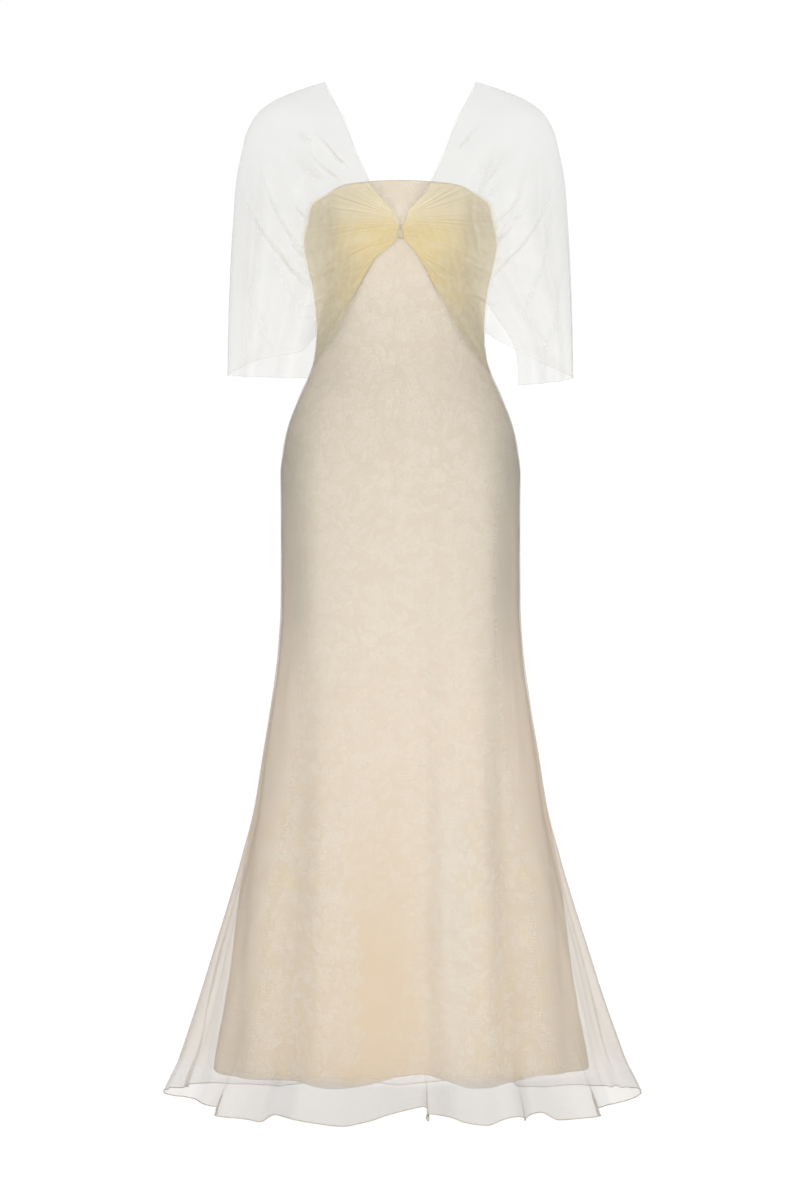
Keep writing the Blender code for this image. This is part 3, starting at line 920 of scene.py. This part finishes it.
def roll_paint(name, colour, light, alpha, fade=None):
    """A narrow rolled hem: slanting stitches along it. fade gives the heights between which it thins out to nothing."""
    p = Paint(name)
    place = p.node("ShaderNodeTexCoord")
    split = p.node("ShaderNodeSeparateXYZ")
    p.tree.links.new(place.outputs["Object"], split.inputs[0])
    x, y, z = (Num(p.tree, split.outputs[i]) for i in range(3))
    stitch = ((x + y * 0.9 + z * 0.8) * 2600.0).sin() * 0.5 + 0.5
    p.put(p.shader.inputs["Base Color"], p.mix(stitch, colour, light))
    p.put(p.shader.inputs["Roughness"], 0.6 + 0.2 * stitch)
    if fade:
        p.put(p.shader.inputs["Alpha"], z.smooth(*fade) * (alpha - 0.03) + 0.03)
    else:
        p.shader.inputs["Alpha"].default_value = alpha
    p.bump(stitch, 0.0002, 0.6)
    return p.material


# ---------------------------------------------------------------- pieces


def finish_piece(thing, material, slot, *nodes):
    thing.data.materials.append(material)
    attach(thing, "root")
    if nodes:
        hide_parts(*nodes)
    return thing


def start_of_overlay(panel, angles):
    if panel != "front":
        return BACK_TOP + (SIDE_TOP - BACK_TOP) * ease(np.abs(angles), 180, 90)
    z = np.full(len(angles), -300.0)
    for _ in range(40):
        x = BODY("half", z) * power(np.sin(np.radians(angles)), BODY_SQUARE)
        z = 0.5 * z + 0.5 * VEE("z", x)
    return z


SPAN = {"front": (-90, 90), "left": (-180, -90), "right": (90, 180)}


def skirt_grid(panel, layer, columns, rows):
    """A panel's points, and how doubled the cloth is at each (more opaque, with painted shade)."""
    angles = np.linspace(*SPAN[panel], columns)
    if layer == "lace":
        top = TOP_EDGE("z", angles)
        last = LACE_HEM("z", angles)
    else:
        top = start_of_overlay(panel, angles)
        last = OUTER_HEM("z", angles)
    share = np.linspace(0, 1, rows)[:, None]
    z = top + (last - top) * share
    a = np.broadcast_to(angles, z.shape).copy()
    flared = layer != "lace"
    dense = np.zeros(z.shape)
    pushed = np.zeros(z.shape)
    if flared:
        for i in range(len(TUCKS.key)):
            t = {name: values[i] for name, values in TUCKS.data.items()}
            off = (angles - t["at"]) / t["wide"]
            near = np.exp(-((off / 0.9) ** 2))
            grow = ease(z, t["start"], -1465)
            sense = np.sign(t["at"]) * t["over"] if t["at"] else 1
            a = a - t["swing"] * np.sin(np.pi * off * 1.15) * near * grow
            pushed += -sense * t["deep"] * off * 1.4 * near * grow
            # The doubled cloth in each tuck: more opaque, and darkened with painted shade, most along its fold line
            # near the hem.
            line = np.exp(-((off / 0.3) ** 2)) * ease(z, -1418, -1462)
            dense += 0.4 * line + 0.1 * np.exp(-((off / 0.5) ** 2)) * grow
    return a, z, pushed, dense, flared


def skirt_panel(name, panel, layer, node, columns, rows, material, slot):
    a, z, pushed, dense, flared = skirt_grid(panel, layer, columns, rows)
    points = body(a, z, flared)
    out = grid_normals(points)
    x = points[..., 0]
    if flared:
        rim = np.abs(np.abs(turned(a)) - 90)
        creases = OVERSKIRT_CREASES if panel == "front" else BACK_CREASES
        push = creased(x, z, creases)[0] + OVER
        push = np.maximum(push, 0.5)
        low = ease(z, -1000, -1440)
        push = push + low * waves(a, (11.0, 0.9, 0.4), (7.3, 0.6, 2.0))
        push = push + low * 0.8
    else:
        rim = np.abs(np.abs(turned(a)) - 90)
        push = 0.25 * waves(z, (83, 1, 0.5), (47, 0.6, 1.0)) * ease(
            np.abs(x), 20, 110
        ) - 0.2
    # Seams: a shallow line at the sides and down the centre back.
    circle = np.minimum(rim, 180 - np.abs(turned(a))) * np.pi / 180
    across = circle * BODY("half", z)
    push = push - 0.6 * np.exp(-((across / 1.4) ** 2)) + 0.35 * np.exp(
        -(((across - 3.2) / 1.6) ** 2)
    )
    points = points + out * (push + pushed)[..., None]
    middle = points.shape[1] // 2 if panel == "front" else (0 if panel == "left" else -1)
    u = lengths(points, 1)
    u = u - u[:, [middle]] + {"front": 0.0, "left": 2.0, "right": 2.0}[panel]
    v = lengths(points, 0)
    down = v[:, [middle]] * np.ones_like(v)
    base = {"front": 0.0, "left": 0.7, "right": 0.7}[panel]
    start = z[0] * -MM
    uv = np.stack([u, -(down + start.min() + base)], axis=-1)
    warm = 0.1 + 0.2 * ease(z, -700, -950)
    warm = warm + 0.4 * np.exp(-(((x - 2) / 60) ** 2)) * ease(z, -900, -1330)
    warm = warm + 0.34 * ease(z, -1100, -1400) * (1 - ease(np.abs(x), 100, 270))
    warm = warm - 0.5 * np.exp(-(((x - 78) / 32) ** 2)) * ease(z, -900, -1200)
    warm = np.clip(warm + 0.12 * ease(z, -480, -420) * ease(np.abs(x), 90, 0), 0, 1)
    if panel != "front":
        warm = np.clip(0.14 + 0.35 * ease(z, -1150, -1400), 0, 1)
    left = np.interp(-z, (1100, 1180, 1260, 1340, 1380, 1420), (-66, -58, -50, -44, -50, -84))
    left = left - 13 * np.abs(np.sin(np.pi * (z + 0.3 * x) / 37)) * (1 - 0.5 * np.sin(z / 29))
    bare = ease(x, left - 3, left + 5) * (1 - 0.85 * ease(x, left + 20, 46))
    bare = bare if panel == "front" else 0 * z
    strong = ease(z, -1020, -1330) * (0.85 + 0.45 * np.exp(-(((x - left - 16) / 15) ** 2)))
    wider = 9 * ease(z, -1130, -1330)
    sides = 1 - ease(np.abs(np.abs(turned(a)) - 90), 18 + wider, 46 + wider)
    hem_veil = ease(z, -1404, -1424) * (1.05 + 0.35 * np.exp(-(((x - 5) / 80) ** 2)))
    at_side = np.interp(
        -z, (540, 640, 1120, 1200, 1300, 1400, 1430), (0, 0.6, 0.9, 0.8, 0.65, 0.55, 0.1)
    )
    cool = ease(z, -1400, -1424) * (1 - 0.7 * sides)
    if panel != "front":
        hem_veil, cool, at_side = 0.15 * hem_veil, 0 * cool, 0.3 * at_side
    veil = np.maximum(at_side * sides, hem_veil * (1 - 0.7 * sides))
    edge = np.abs(x) / BODY("half", z)
    # Painted shade from the waist up, fading out by the knees. It is halved over the cups and eased off at the bodice
    # sides, where the lace is left lighter as painted light against the lighting's fall-off.
    bodice_painted_shade = ease(z, -900, -400) * (1 - 0.5 * ease(z, -345, -285))
    bodice_painted_shade = bodice_painted_shade * (1 - 0.8 * ease(edge, 0.84, 0.98) * ease(z, -440, -380))
    bold = ease(z, -850, -1150) * ease(np.abs(x), 50, 130)
    # Painted shade at the sides of the hips, where the lace turns away from the front lights.
    painted_shade = 1.25 * ease(edge, 0.66, 0.92) * ease(z, -440, -560) * ease(z, -900, -700)
    # The soft shade that the drapes throw beside their lower edges.
    foot = np.interp(-z, (300, 335, 365, 400), (60, 77, 88, 106))
    shade = np.exp(-(((np.abs(x) - foot) / 10) ** 2)) * ease(z, -405, -360)
    painted_shade = painted_shade + 0.5 * shade * ease(z, -285, -325)
    painted_shade = painted_shade + 0.1 * ease(z, -1100, -1250) * np.exp(-(((x + 10) / 75) ** 2))
    lace_facts = {"warm": warm, "bare": bare, "strong": strong, "bodice_painted_shade": bodice_painted_shade, "painted_shade": painted_shade}
    lace_facts["bold"] = bold
    facts = lace_facts if layer == "lace" else {"veil": veil, "cool": cool}
    facts["dense"] = np.clip(dense, 0, 1)
    thing = sheet_mesh(name, points, uv, facts)
    finish_piece(thing, material, slot, node)
    return points


def cape(phi, z, away, front, lift):
    """A point of the drapes: away is 0 on the body and 1 on the sleeve, and phi is 90 at the outer edge."""
    column = "front" if front else "back"
    half = (1 - away) * (BODY("half", z) + lift) + away * CAPE("half", z)
    depth = (1 - away) * (BODY(column, z) + lift) + away * CAPE(column, z)
    square = (1 - away) * BODY_SQUARE + away * CAPE_SQUARE
    a = np.radians(phi)
    x = half * power(np.sin(a), square)
    y = depth * power(np.cos(a), square)
    if front:
        y = y + cups(x, z) * (1 - 0.4 * away) * np.clip(np.cos(a), 0, 1)
    return x, -y if front else y


def half_at(z, away, lift=5.5):
    return (1 - away) * (BODY("half", z) + lift) + away * CAPE("half", z)


def phi_at(x, z, away, lift=5.5):
    half = half_at(z, away, lift)
    square = (1 - away) * BODY_SQUARE + away * CAPE_SQUARE
    return np.degrees(np.arcsin(np.clip(x / half, 0, 1) ** (1 / square)))


def along(values, v):
    """A smooth curve through four values at 0, 1/3, 2/3 and 1."""
    p0, p1, p2, p3 = values
    t = np.asarray(v, float) * 3
    l0 = -(t - 1) * (t - 2) * (t - 3) / 6
    l1 = t * (t - 2) * (t - 3) / 2
    l2 = -t * (t - 1) * (t - 3) / 2
    l3 = t * (t - 1) * (t - 2) / 6
    return p0 * l0 + p1 * l1 + p2 * l2 + p3 * l3


def front_rays(side):
    made = []
    for row in RAYS:
        row = RAYS_RIGHT.get(row[0], row) if side == "right" else row
        line = dict(zip(RAY, row))
        values = [line["turn"]]
        for k in ("1", "2", "3"):
            x, z, w = line["x" + k], line["z" + k], line["w" + k]
            values += [min(x, float(half_at(z, w))), z, w]
        made.append(tuple(values))
    return Table(RAY, *made)


def drape_front(side, material, roll):
    rays = front_rays(side)
    sign = -1 if side == "left" else 1
    most = RAYS[-1][0]
    u, v = np.meshgrid(np.linspace(0, most, 321), np.linspace(0, 1, 131), indexing="ij")
    share = u / most
    z0 = KNOT_FOOT + (KNOT_TOP - KNOT_FOOT) * share
    z = along([z0] + [rays(c, u) for c in ("z1", "z2", "z3")], v)
    across = along([KNOT_X] + [rays(c, u) for c in ("x1", "x2", "x3")], v)
    away = np.clip(along([0 * u] + [rays(c, u) for c in ("w1", "w2", "w3")], v), 0, 1)
    across = across - 7.5 * np.exp(-(((v - 0.17) / 0.09) ** 2)) * ease(u, 11, 16)
    phi = phi_at(across, z, away)
    lift = 5.5 - (5.5 - LIFT) * (1 - away) - 1.6 * ease(v, 0.8, 1.0) * (1 - away)
    lift = lift - 0.8 * (1 - ease(u, 0, 1.2)) * (1 - away)
    lift = lift - 0.5 * ease(u, most - 1.2, most) * (1 - away)
    x, y = cape(phi, z, away, True, lift)
    points = np.stack([sign * x, y, z], axis=-1)
    out = np.cross(np.gradient(points, axis=0), np.gradient(points, axis=1))
    out = out / np.maximum(np.linalg.norm(out, axis=-1, keepdims=True), 1e-9)
    out = out * np.sign(-out[..., 1].mean())
    # Gathers run out from the knot, and their size follows the room that each has.
    room = np.linalg.norm(np.gradient(points, axis=0), axis=-1) * (320 / most)
    phase = {"left": 0.3, "right": 1.7}[side]
    pleat = waves(u + 0.10 * np.sin(5 * v + u), (0.62, 1.0, phase), (0.41, 0.5, 2 * phase))
    pleat = pleat + waves(u, (1.27, 0.8, 1 + phase), (2.3, 0.5, phase))
    uneven = 0.6 + 0.4 * np.sin(1.7 * u + 3 * phase)
    small = np.minimum(0.03 * room, 0.5) * pleat * uneven
    small = small * (1 - 0.8 * ease(v, 0.36, 0.7)) * ease(v, 0.0, 0.05)
    edge_in = ease(v, 1.0, 0.86) * ease(u, -0.2, 0.5)
    long = waves(u + 0.4 * np.sin(2.2 * v), (2.9, 1.6, phase), (1.7, 0.9, 2.4 + phase))
    long = long * ease(v, 0.45, 0.8) * (0.25 + 0.75 * away) * ease(v, 1.0, 0.9)
    fold, line = creased(points[..., 0], z, DRAPE_CREASES[side])
    push = small * edge_in + long + fold * ease(v, 1.0, 0.94)
    push = push + 0.3 * np.exp(-((u / 0.3) ** 2)) * ease(v, 0.02, 0.12)
    push = np.where(away < 0.5, np.maximum(push, 1.2 - lift), push)
    points = points + out * push[..., None]
    slope = np.abs(np.gradient(push, axis=0)) / np.maximum(
        np.linalg.norm(np.gradient(points, axis=0), axis=-1), 0.05
    )
    top = TOP_EDGE("z", phi_at(x, z, 0 * z, 1.0) * sign)
    over = ease(z, top + 1, top - 5) * (x < BODY("half", z) + 3)
    over = over * (1 - ease(x, BODY("half", z) - 3, BODY("half", z) + 4))
    gold = over * (1 - 0.9 * ease(x, 78, 112)) * (0.6 + 0.4 * ease(v, 0.62, 0.3))
    gold = gold * (1 - 0.35 * ease(z, -192, -165)) * (1 - 0.6 * ease(z, -308, -348))
    # Towards its free edges the thin cloth shows less and less, at the neck and where it crosses the waist.
    from_neck = lengths(points[::-1], 0)[::-1] / MM
    from_vee = lengths(points, 0) / MM
    fade = (1 - ease(from_neck, 0, 13)) * over
    fade = np.maximum(fade, (1 - ease(from_vee, 0, 12)) * ease(z, -282, -322))
    over, gold = over * (1 - 0.8 * fade), gold * (1 - 0.8 * fade)
    flank = over * ease(x + 0.12 * (z + 240), 86, 108) * ease(z, -168, -196)
    low = over * ease(z, -246, -285) * (1 - ease(x, 98, 118))
    rim = np.maximum(1 - ease(from_neck, 1, 9), 1 - ease(from_vee, 1, 9))
    # Steep gathers, crease lines and the cloth near the body's sides count as dense: more opaque, and darkened with
    # painted shade.
    dense = np.clip(0.55 * ease(slope, 0.25, 1.1) * (1 - rim) + line, 0, 1)
    near_body = np.exp(-(((x - BODY("half", z)) / 16) ** 2)) * ease(z, -175, -240)
    dense = np.clip(dense + 0.08 * near_body * ease(away, 0.2, 0.6), 0, 1)
    facts = {"gold": np.clip(gold, 0, 1), "over": np.clip(over, 0, 1), "dense": dense}
    # Painted shade on the sides of the cups (flank) and under them (low).
    facts["shade"] = np.clip(0.08 * flank + 0.24 * low, 0, 1)
    # Painted highlight on the upper cups and beside the body's sides, and a light strip along the free edges.
    crown = 0.85 * over * ease(z, -228, -192) * (1 - ease(x, 80, 112))
    crown = crown + 0.35 * over * ease(x - BODY("half", z), -12, -2) * ease(z, -215, -262)
    facts["crown"] = np.clip(crown * (1 - fade) + 0.5 * fade, 0, 1)
    facts["thin"] = np.clip(fade, 0, 1) ** 2
    uv = np.stack([lengths(points, 0) + 4.0, lengths(points, 1)], axis=-1)
    thing = sheet_mesh("drape_front_cloth_" + side, points, uv, facts)
    finish_piece(thing, material, "drape", "drape_front_" + side)
    foot = int(round(1.75 / most * 320))
    corner = int(round(4 / most * 320))
    ridge = int(round(11.5 / most * 320))
    vee = bead("drape_edge_roll_" + side, points[0, ::2], 0.6)
    neck = bead("neck_edge_roll_" + side, points[-1, ::2], 0.4)
    cuff = bead("cuff_front_roll_" + side, points[foot : corner + 1, -1], 0.5)
    seam = bead("shoulder_seam_roll_" + side, points[ridge:, -1], 0.7)
    for roll_piece in (vee, neck, cuff, seam):
        finish_piece(roll_piece, roll, "drape")
    return thing, (vee, neck, cuff, seam)


def sleeve_back(side, material, roll):
    sign = -1 if side == "left" else 1
    ridge = Table(("u", "z"), *enumerate(BACK_RIDGE))
    most = len(BACK_RIDGE) - 1
    inner_foot, outer_foot = BACK_HEM[side]
    u, v = np.meshgrid(np.linspace(0, most, 161), np.linspace(0, 1, 131), indexing="ij")
    top = ridge("z", u)
    foot = inner_foot + (outer_foot - inner_foot) * u / most
    z = top + (foot - top) * v
    inner = phi_at(np.maximum(BACK_EDGE(side, z), 0), z, 1)
    phi = inner + (90 - inner) * u / most
    phi = 90 - (90 - phi) * ease(v, -0.3, 0.12) ** 0.5
    phi = np.where(v <= 0, 90, phi)
    x, y = cape(phi, z, 1.0, False, 0.0)
    points = np.stack([sign * x, y, z], axis=-1)
    out = np.cross(np.gradient(points, axis=0), np.gradient(points, axis=1))
    out = out / np.maximum(np.linalg.norm(out, axis=-1, keepdims=True), 1e-9)
    out = out * np.sign(out[..., 1].mean())
    phase = {"left": 0.9, "right": 2.2}[side]
    soft = waves(u + 0.5 * np.sin(2 * v), (2.4, 2.2, phase), (1.3, 1.1, 1 + phase))
    soft = soft * ease(v, 0.05, 0.5) * ease(u, most, most - 1.0)
    fold, line = creased(points[..., 0], z, SLEEVE_CREASES[side])
    push = soft + fold * ease(v, 0.02, 0.1) * ease(u, most, most - 0.4)
    points = points + out * push[..., None]
    # Crease lines and soft folds count as dense: more opaque, and darkened with painted shade.
    dense = np.clip(line + 0.04 * np.abs(soft), 0, 1)
    zero = np.zeros_like(z)
    uv = np.stack([lengths(points, 0) + 7.0, lengths(points, 1)], axis=-1)
    facts = {"gold": zero, "over": zero, "dense": dense, "shade": zero, "crown": zero}
    facts["thin"] = zero
    thing = sheet_mesh("sleeve_back_cloth_" + side, points, uv, facts)
    finish_piece(thing, material, "sleeve", "drape_back_" + side)
    inner_roll = bead("sleeve_edge_roll_" + side, points[0, ::2], 0.4)
    cuff = bead("cuff_back_roll_" + side, points[:, -1], 0.5)
    for roll_piece in (inner_roll, cuff):
        finish_piece(roll_piece, roll, "sleeve")
    return thing, (inner_roll, cuff)


def tab(material):
    """The small band that holds the gathers: a rounded strip with three soft pleats."""
    rows, columns = 25, 33
    v = np.linspace(1, -1, rows)[:, None]
    turn = np.linspace(0, 2 * np.pi, columns)[None, :]
    pinch = 1 - 0.22 * (1 - v**2)
    swell = np.sqrt(np.maximum(1 - v**4, 0.0))
    x = 4.6 * pinch * np.sin(turn) * (0.35 + 0.65 * swell)
    z = -228 + 6.2 * v + 0 * turn
    _, on = cape(phi_at(np.abs(x), z, 0 * z), z, 0 * z, True, LIFT)
    pleats = 1 + 0.16 * np.cos(turn * 7 + 0.6 * v)
    y = on - 0.6 - 2.1 * np.cos(turn) * pleats * (0.3 + 0.7 * swell)
    points = np.stack([x, y, z], axis=-1)
    uv = np.stack([lengths(points, 1) + 9.0, lengths(points, 0)], axis=-1)
    zero = 0 * z
    facts = {"gold": zero + 0.35, "over": zero + 1, "dense": zero, "shade": zero}
    facts["crown"] = facts["thin"] = zero
    thing = sheet_mesh("centre_tab_cloth", points, uv, facts)
    return finish_piece(thing, material, "drape", "centre_tab")


def build():
    lace = lace_paint()
    chiffon = overskirt_paint()
    yellow = drape_paint()
    roll_skirt = roll_paint(
        "overskirt_roll", (0.55, 0.45, 0.34, 1), (0.76, 0.67, 0.56, 1), 0.8
    )
    roll_drape = roll_paint(
        "drape_roll", (0.6, 0.44, 0.22, 1), (0.78, 0.64, 0.38, 1), 0.8, (-0.33, -0.27)
    )
    roll_pale = roll_paint("sleeve_roll", (0.7, 0.69, 0.65, 1), (0.8, 0.8, 0.76, 1), 0.16)
    roll_seam = roll_paint("shoulder_seam", (0.7, 0.69, 0.65, 1), (0.8, 0.8, 0.76, 1), 0.08)
    roll_neck = roll_paint(
        "neck_roll", (0.72, 0.7, 0.63, 1), (0.84, 0.82, 0.75, 1), 0.16, (-0.18, -0.15)
    )
    roll_lace = roll_paint("lace_edge", (0.66, 0.57, 0.46, 1), (0.78, 0.7, 0.59, 1), 0.8)

    rims = {}
    for layer, slot, paint in (("lace", "lace", lace), ("overlay", "overskirt", chiffon)):
        for panel, columns in (("front", 301), ("left", 151), ("right", 151)):
            node = layer + "_" + ("front" if panel == "front" else "back_" + panel)
            rows = 261
            points = skirt_panel(
                node + "_cloth", panel, layer, node, columns, rows, paint, slot
            )
            rims[node] = points
    tops = np.concatenate(
        [rims["lace_back_left"][0], rims["lace_front"][0], rims["lace_back_right"][0]]
    )
    feet = np.concatenate(
        [rims["lace_back_left"][-1], rims["lace_front"][-1], rims["lace_back_right"][-1]]
    )
    hems = np.concatenate(
        [
            rims["overlay_back_left"][-1],
            rims["overlay_front"][-1],
            rims["overlay_back_right"][-1],
        ]
    )
    finish_piece(bead("lace_top_roll", tops[:-1], 0.8, loop=True), roll_lace, "lace")
    finish_piece(bead("lace_hem_roll", feet[:-1], 0.5, loop=True), roll_lace, "lace")
    finish_piece(
        bead("overskirt_hem_roll", hems[:-1], 0.65, loop=True), roll_skirt, "overskirt"
    )
    drapes = {}
    for side in ("left", "right"):
        drapes["front_" + side] = drape_front(side, yellow, roll_drape)
        drapes["back_" + side] = sleeve_back(side, yellow, roll_pale)
        for roll_piece in drapes["front_" + side][1][1:]:
            roll_piece.data.materials[0] = roll_pale
        drapes["front_" + side][1][1].data.materials[0] = roll_neck
        drapes["front_" + side][1][-1].data.materials[0] = roll_seam
    tab(yellow)
    return drapes


def stage():
    """A plain pale floor just under the hem, soft lights and the camera."""
    floor_mesh = bpy.data.meshes.new("floor")
    r, z = 9.0, -1.5
    floor_mesh.from_pydata(
        [(-r, -r, z), (r, -r, z), (r, r, z), (-r, r, z)], [], [(0, 1, 2, 3)]
    )
    floor = bpy.data.objects.new("floor", floor_mesh)
    bpy.context.scene.collection.objects.link(floor)
    paint = bpy.data.materials.new("floor")
    paint.use_nodes = True
    shader = paint.node_tree.nodes["Principled BSDF"]
    shader.inputs["Base Color"].default_value = (0.82, 0.82, 0.82, 1)
    shader.inputs["Roughness"].default_value = 0.95
    shader.inputs["Specular IOR Level"].default_value = 0.0
    nodes, links = paint.node_tree.nodes, paint.node_tree.links
    glow = nodes.new("ShaderNodeEmission")
    glow.inputs["Strength"].default_value = FLOOR_GLOW
    both = nodes.new("ShaderNodeAddShader")
    seen = nodes.new("ShaderNodeMixShader")
    sight = nodes.new("ShaderNodeLightPath")
    soft = nodes.new("ShaderNodeBsdfDiffuse")
    soft.inputs["Color"].default_value = (0.07, 0.07, 0.07, 1)
    links.new(soft.outputs[0], both.inputs[0])
    links.new(glow.outputs[0], both.inputs[1])
    links.new(sight.outputs["Is Camera Ray"], seen.inputs[0])
    links.new(shader.outputs[0], seen.inputs[1])
    links.new(both.outputs[0], seen.inputs[2])
    links.new(seen.outputs[0], nodes["Material Output"].inputs["Surface"])
    floor_mesh.materials.append(paint)

    world = bpy.data.worlds.new("studio")
    bpy.context.scene.world = world
    world.use_nodes = True
    tree = world.node_tree
    back = tree.nodes["Background"]
    back.inputs["Color"].default_value = (1, 1, 1, 1)
    back.inputs["Strength"].default_value = AMBIENT
    seen = tree.nodes.new("ShaderNodeBackground")
    seen.inputs["Color"].default_value = (1, 1, 1, 1)
    seen.inputs["Strength"].default_value = 1.02
    path = tree.nodes.new("ShaderNodeLightPath")
    mix = tree.nodes.new("ShaderNodeMixShader")
    tree.links.new(path.outputs["Is Camera Ray"], mix.inputs[0])
    tree.links.new(back.outputs[0], mix.inputs[1])
    tree.links.new(seen.outputs[0], mix.inputs[2])
    tree.links.new(mix.outputs[0], tree.nodes["World Output"].inputs["Surface"])

    for name, place, aim, size, watts in LIGHTS:
        light = bpy.data.lights.new(name, "AREA")
        light.shape = "RECTANGLE"
        light.size, light.size_y = size
        light.energy = watts
        lamp = bpy.data.objects.new(name, light)
        bpy.context.scene.collection.objects.link(lamp)
        lamp.location = place
        lamp.rotation_euler = (
            (Vector(aim) - Vector(place)).to_track_quat("-Z", "Y").to_euler()
        )

    lens = bpy.data.cameras.new("camera")
    lens.sensor_fit = "VERTICAL"
    lens.sensor_height = 36
    lens.sensor_width = 36
    lens.lens = 36 * 6.5 / 1.728
    lens.clip_start, lens.clip_end = 0.1, 100
    camera = bpy.data.objects.new("camera", lens)
    bpy.context.scene.collection.objects.link(camera)
    camera.location = (-0.0007, -6.5, -0.746)
    camera.rotation_euler = (math.pi / 2, 0, 0)
    bpy.context.scene.camera = camera
    bpy.context.scene.view_settings.view_transform = "Standard"


FLOOR_GLOW = 0.99
AMBIENT = 0.21
LIGHTS = (
    ("key", (-0.4, -5.0, 1.2), (0, 0, -0.7), (1.4, 1.8), 75),
    ("fill", (0.5, -5.3, -0.95), (0, 0, -1.1), (1.2, 1.2), 64),
    ("side_left", (-3.6, -2.5, -0.7), (0, 0, -0.95), (1.4, 1.5), 46),
    ("side_right", (3.6, -2.5, -0.75), (0, 0, -1.0), (1.4, 1.5), 50),
    ("rear", (0.4, 5.2, 1.2), (0, 0, -0.7), (2.6, 3.0), 170),
)

build()
stage()
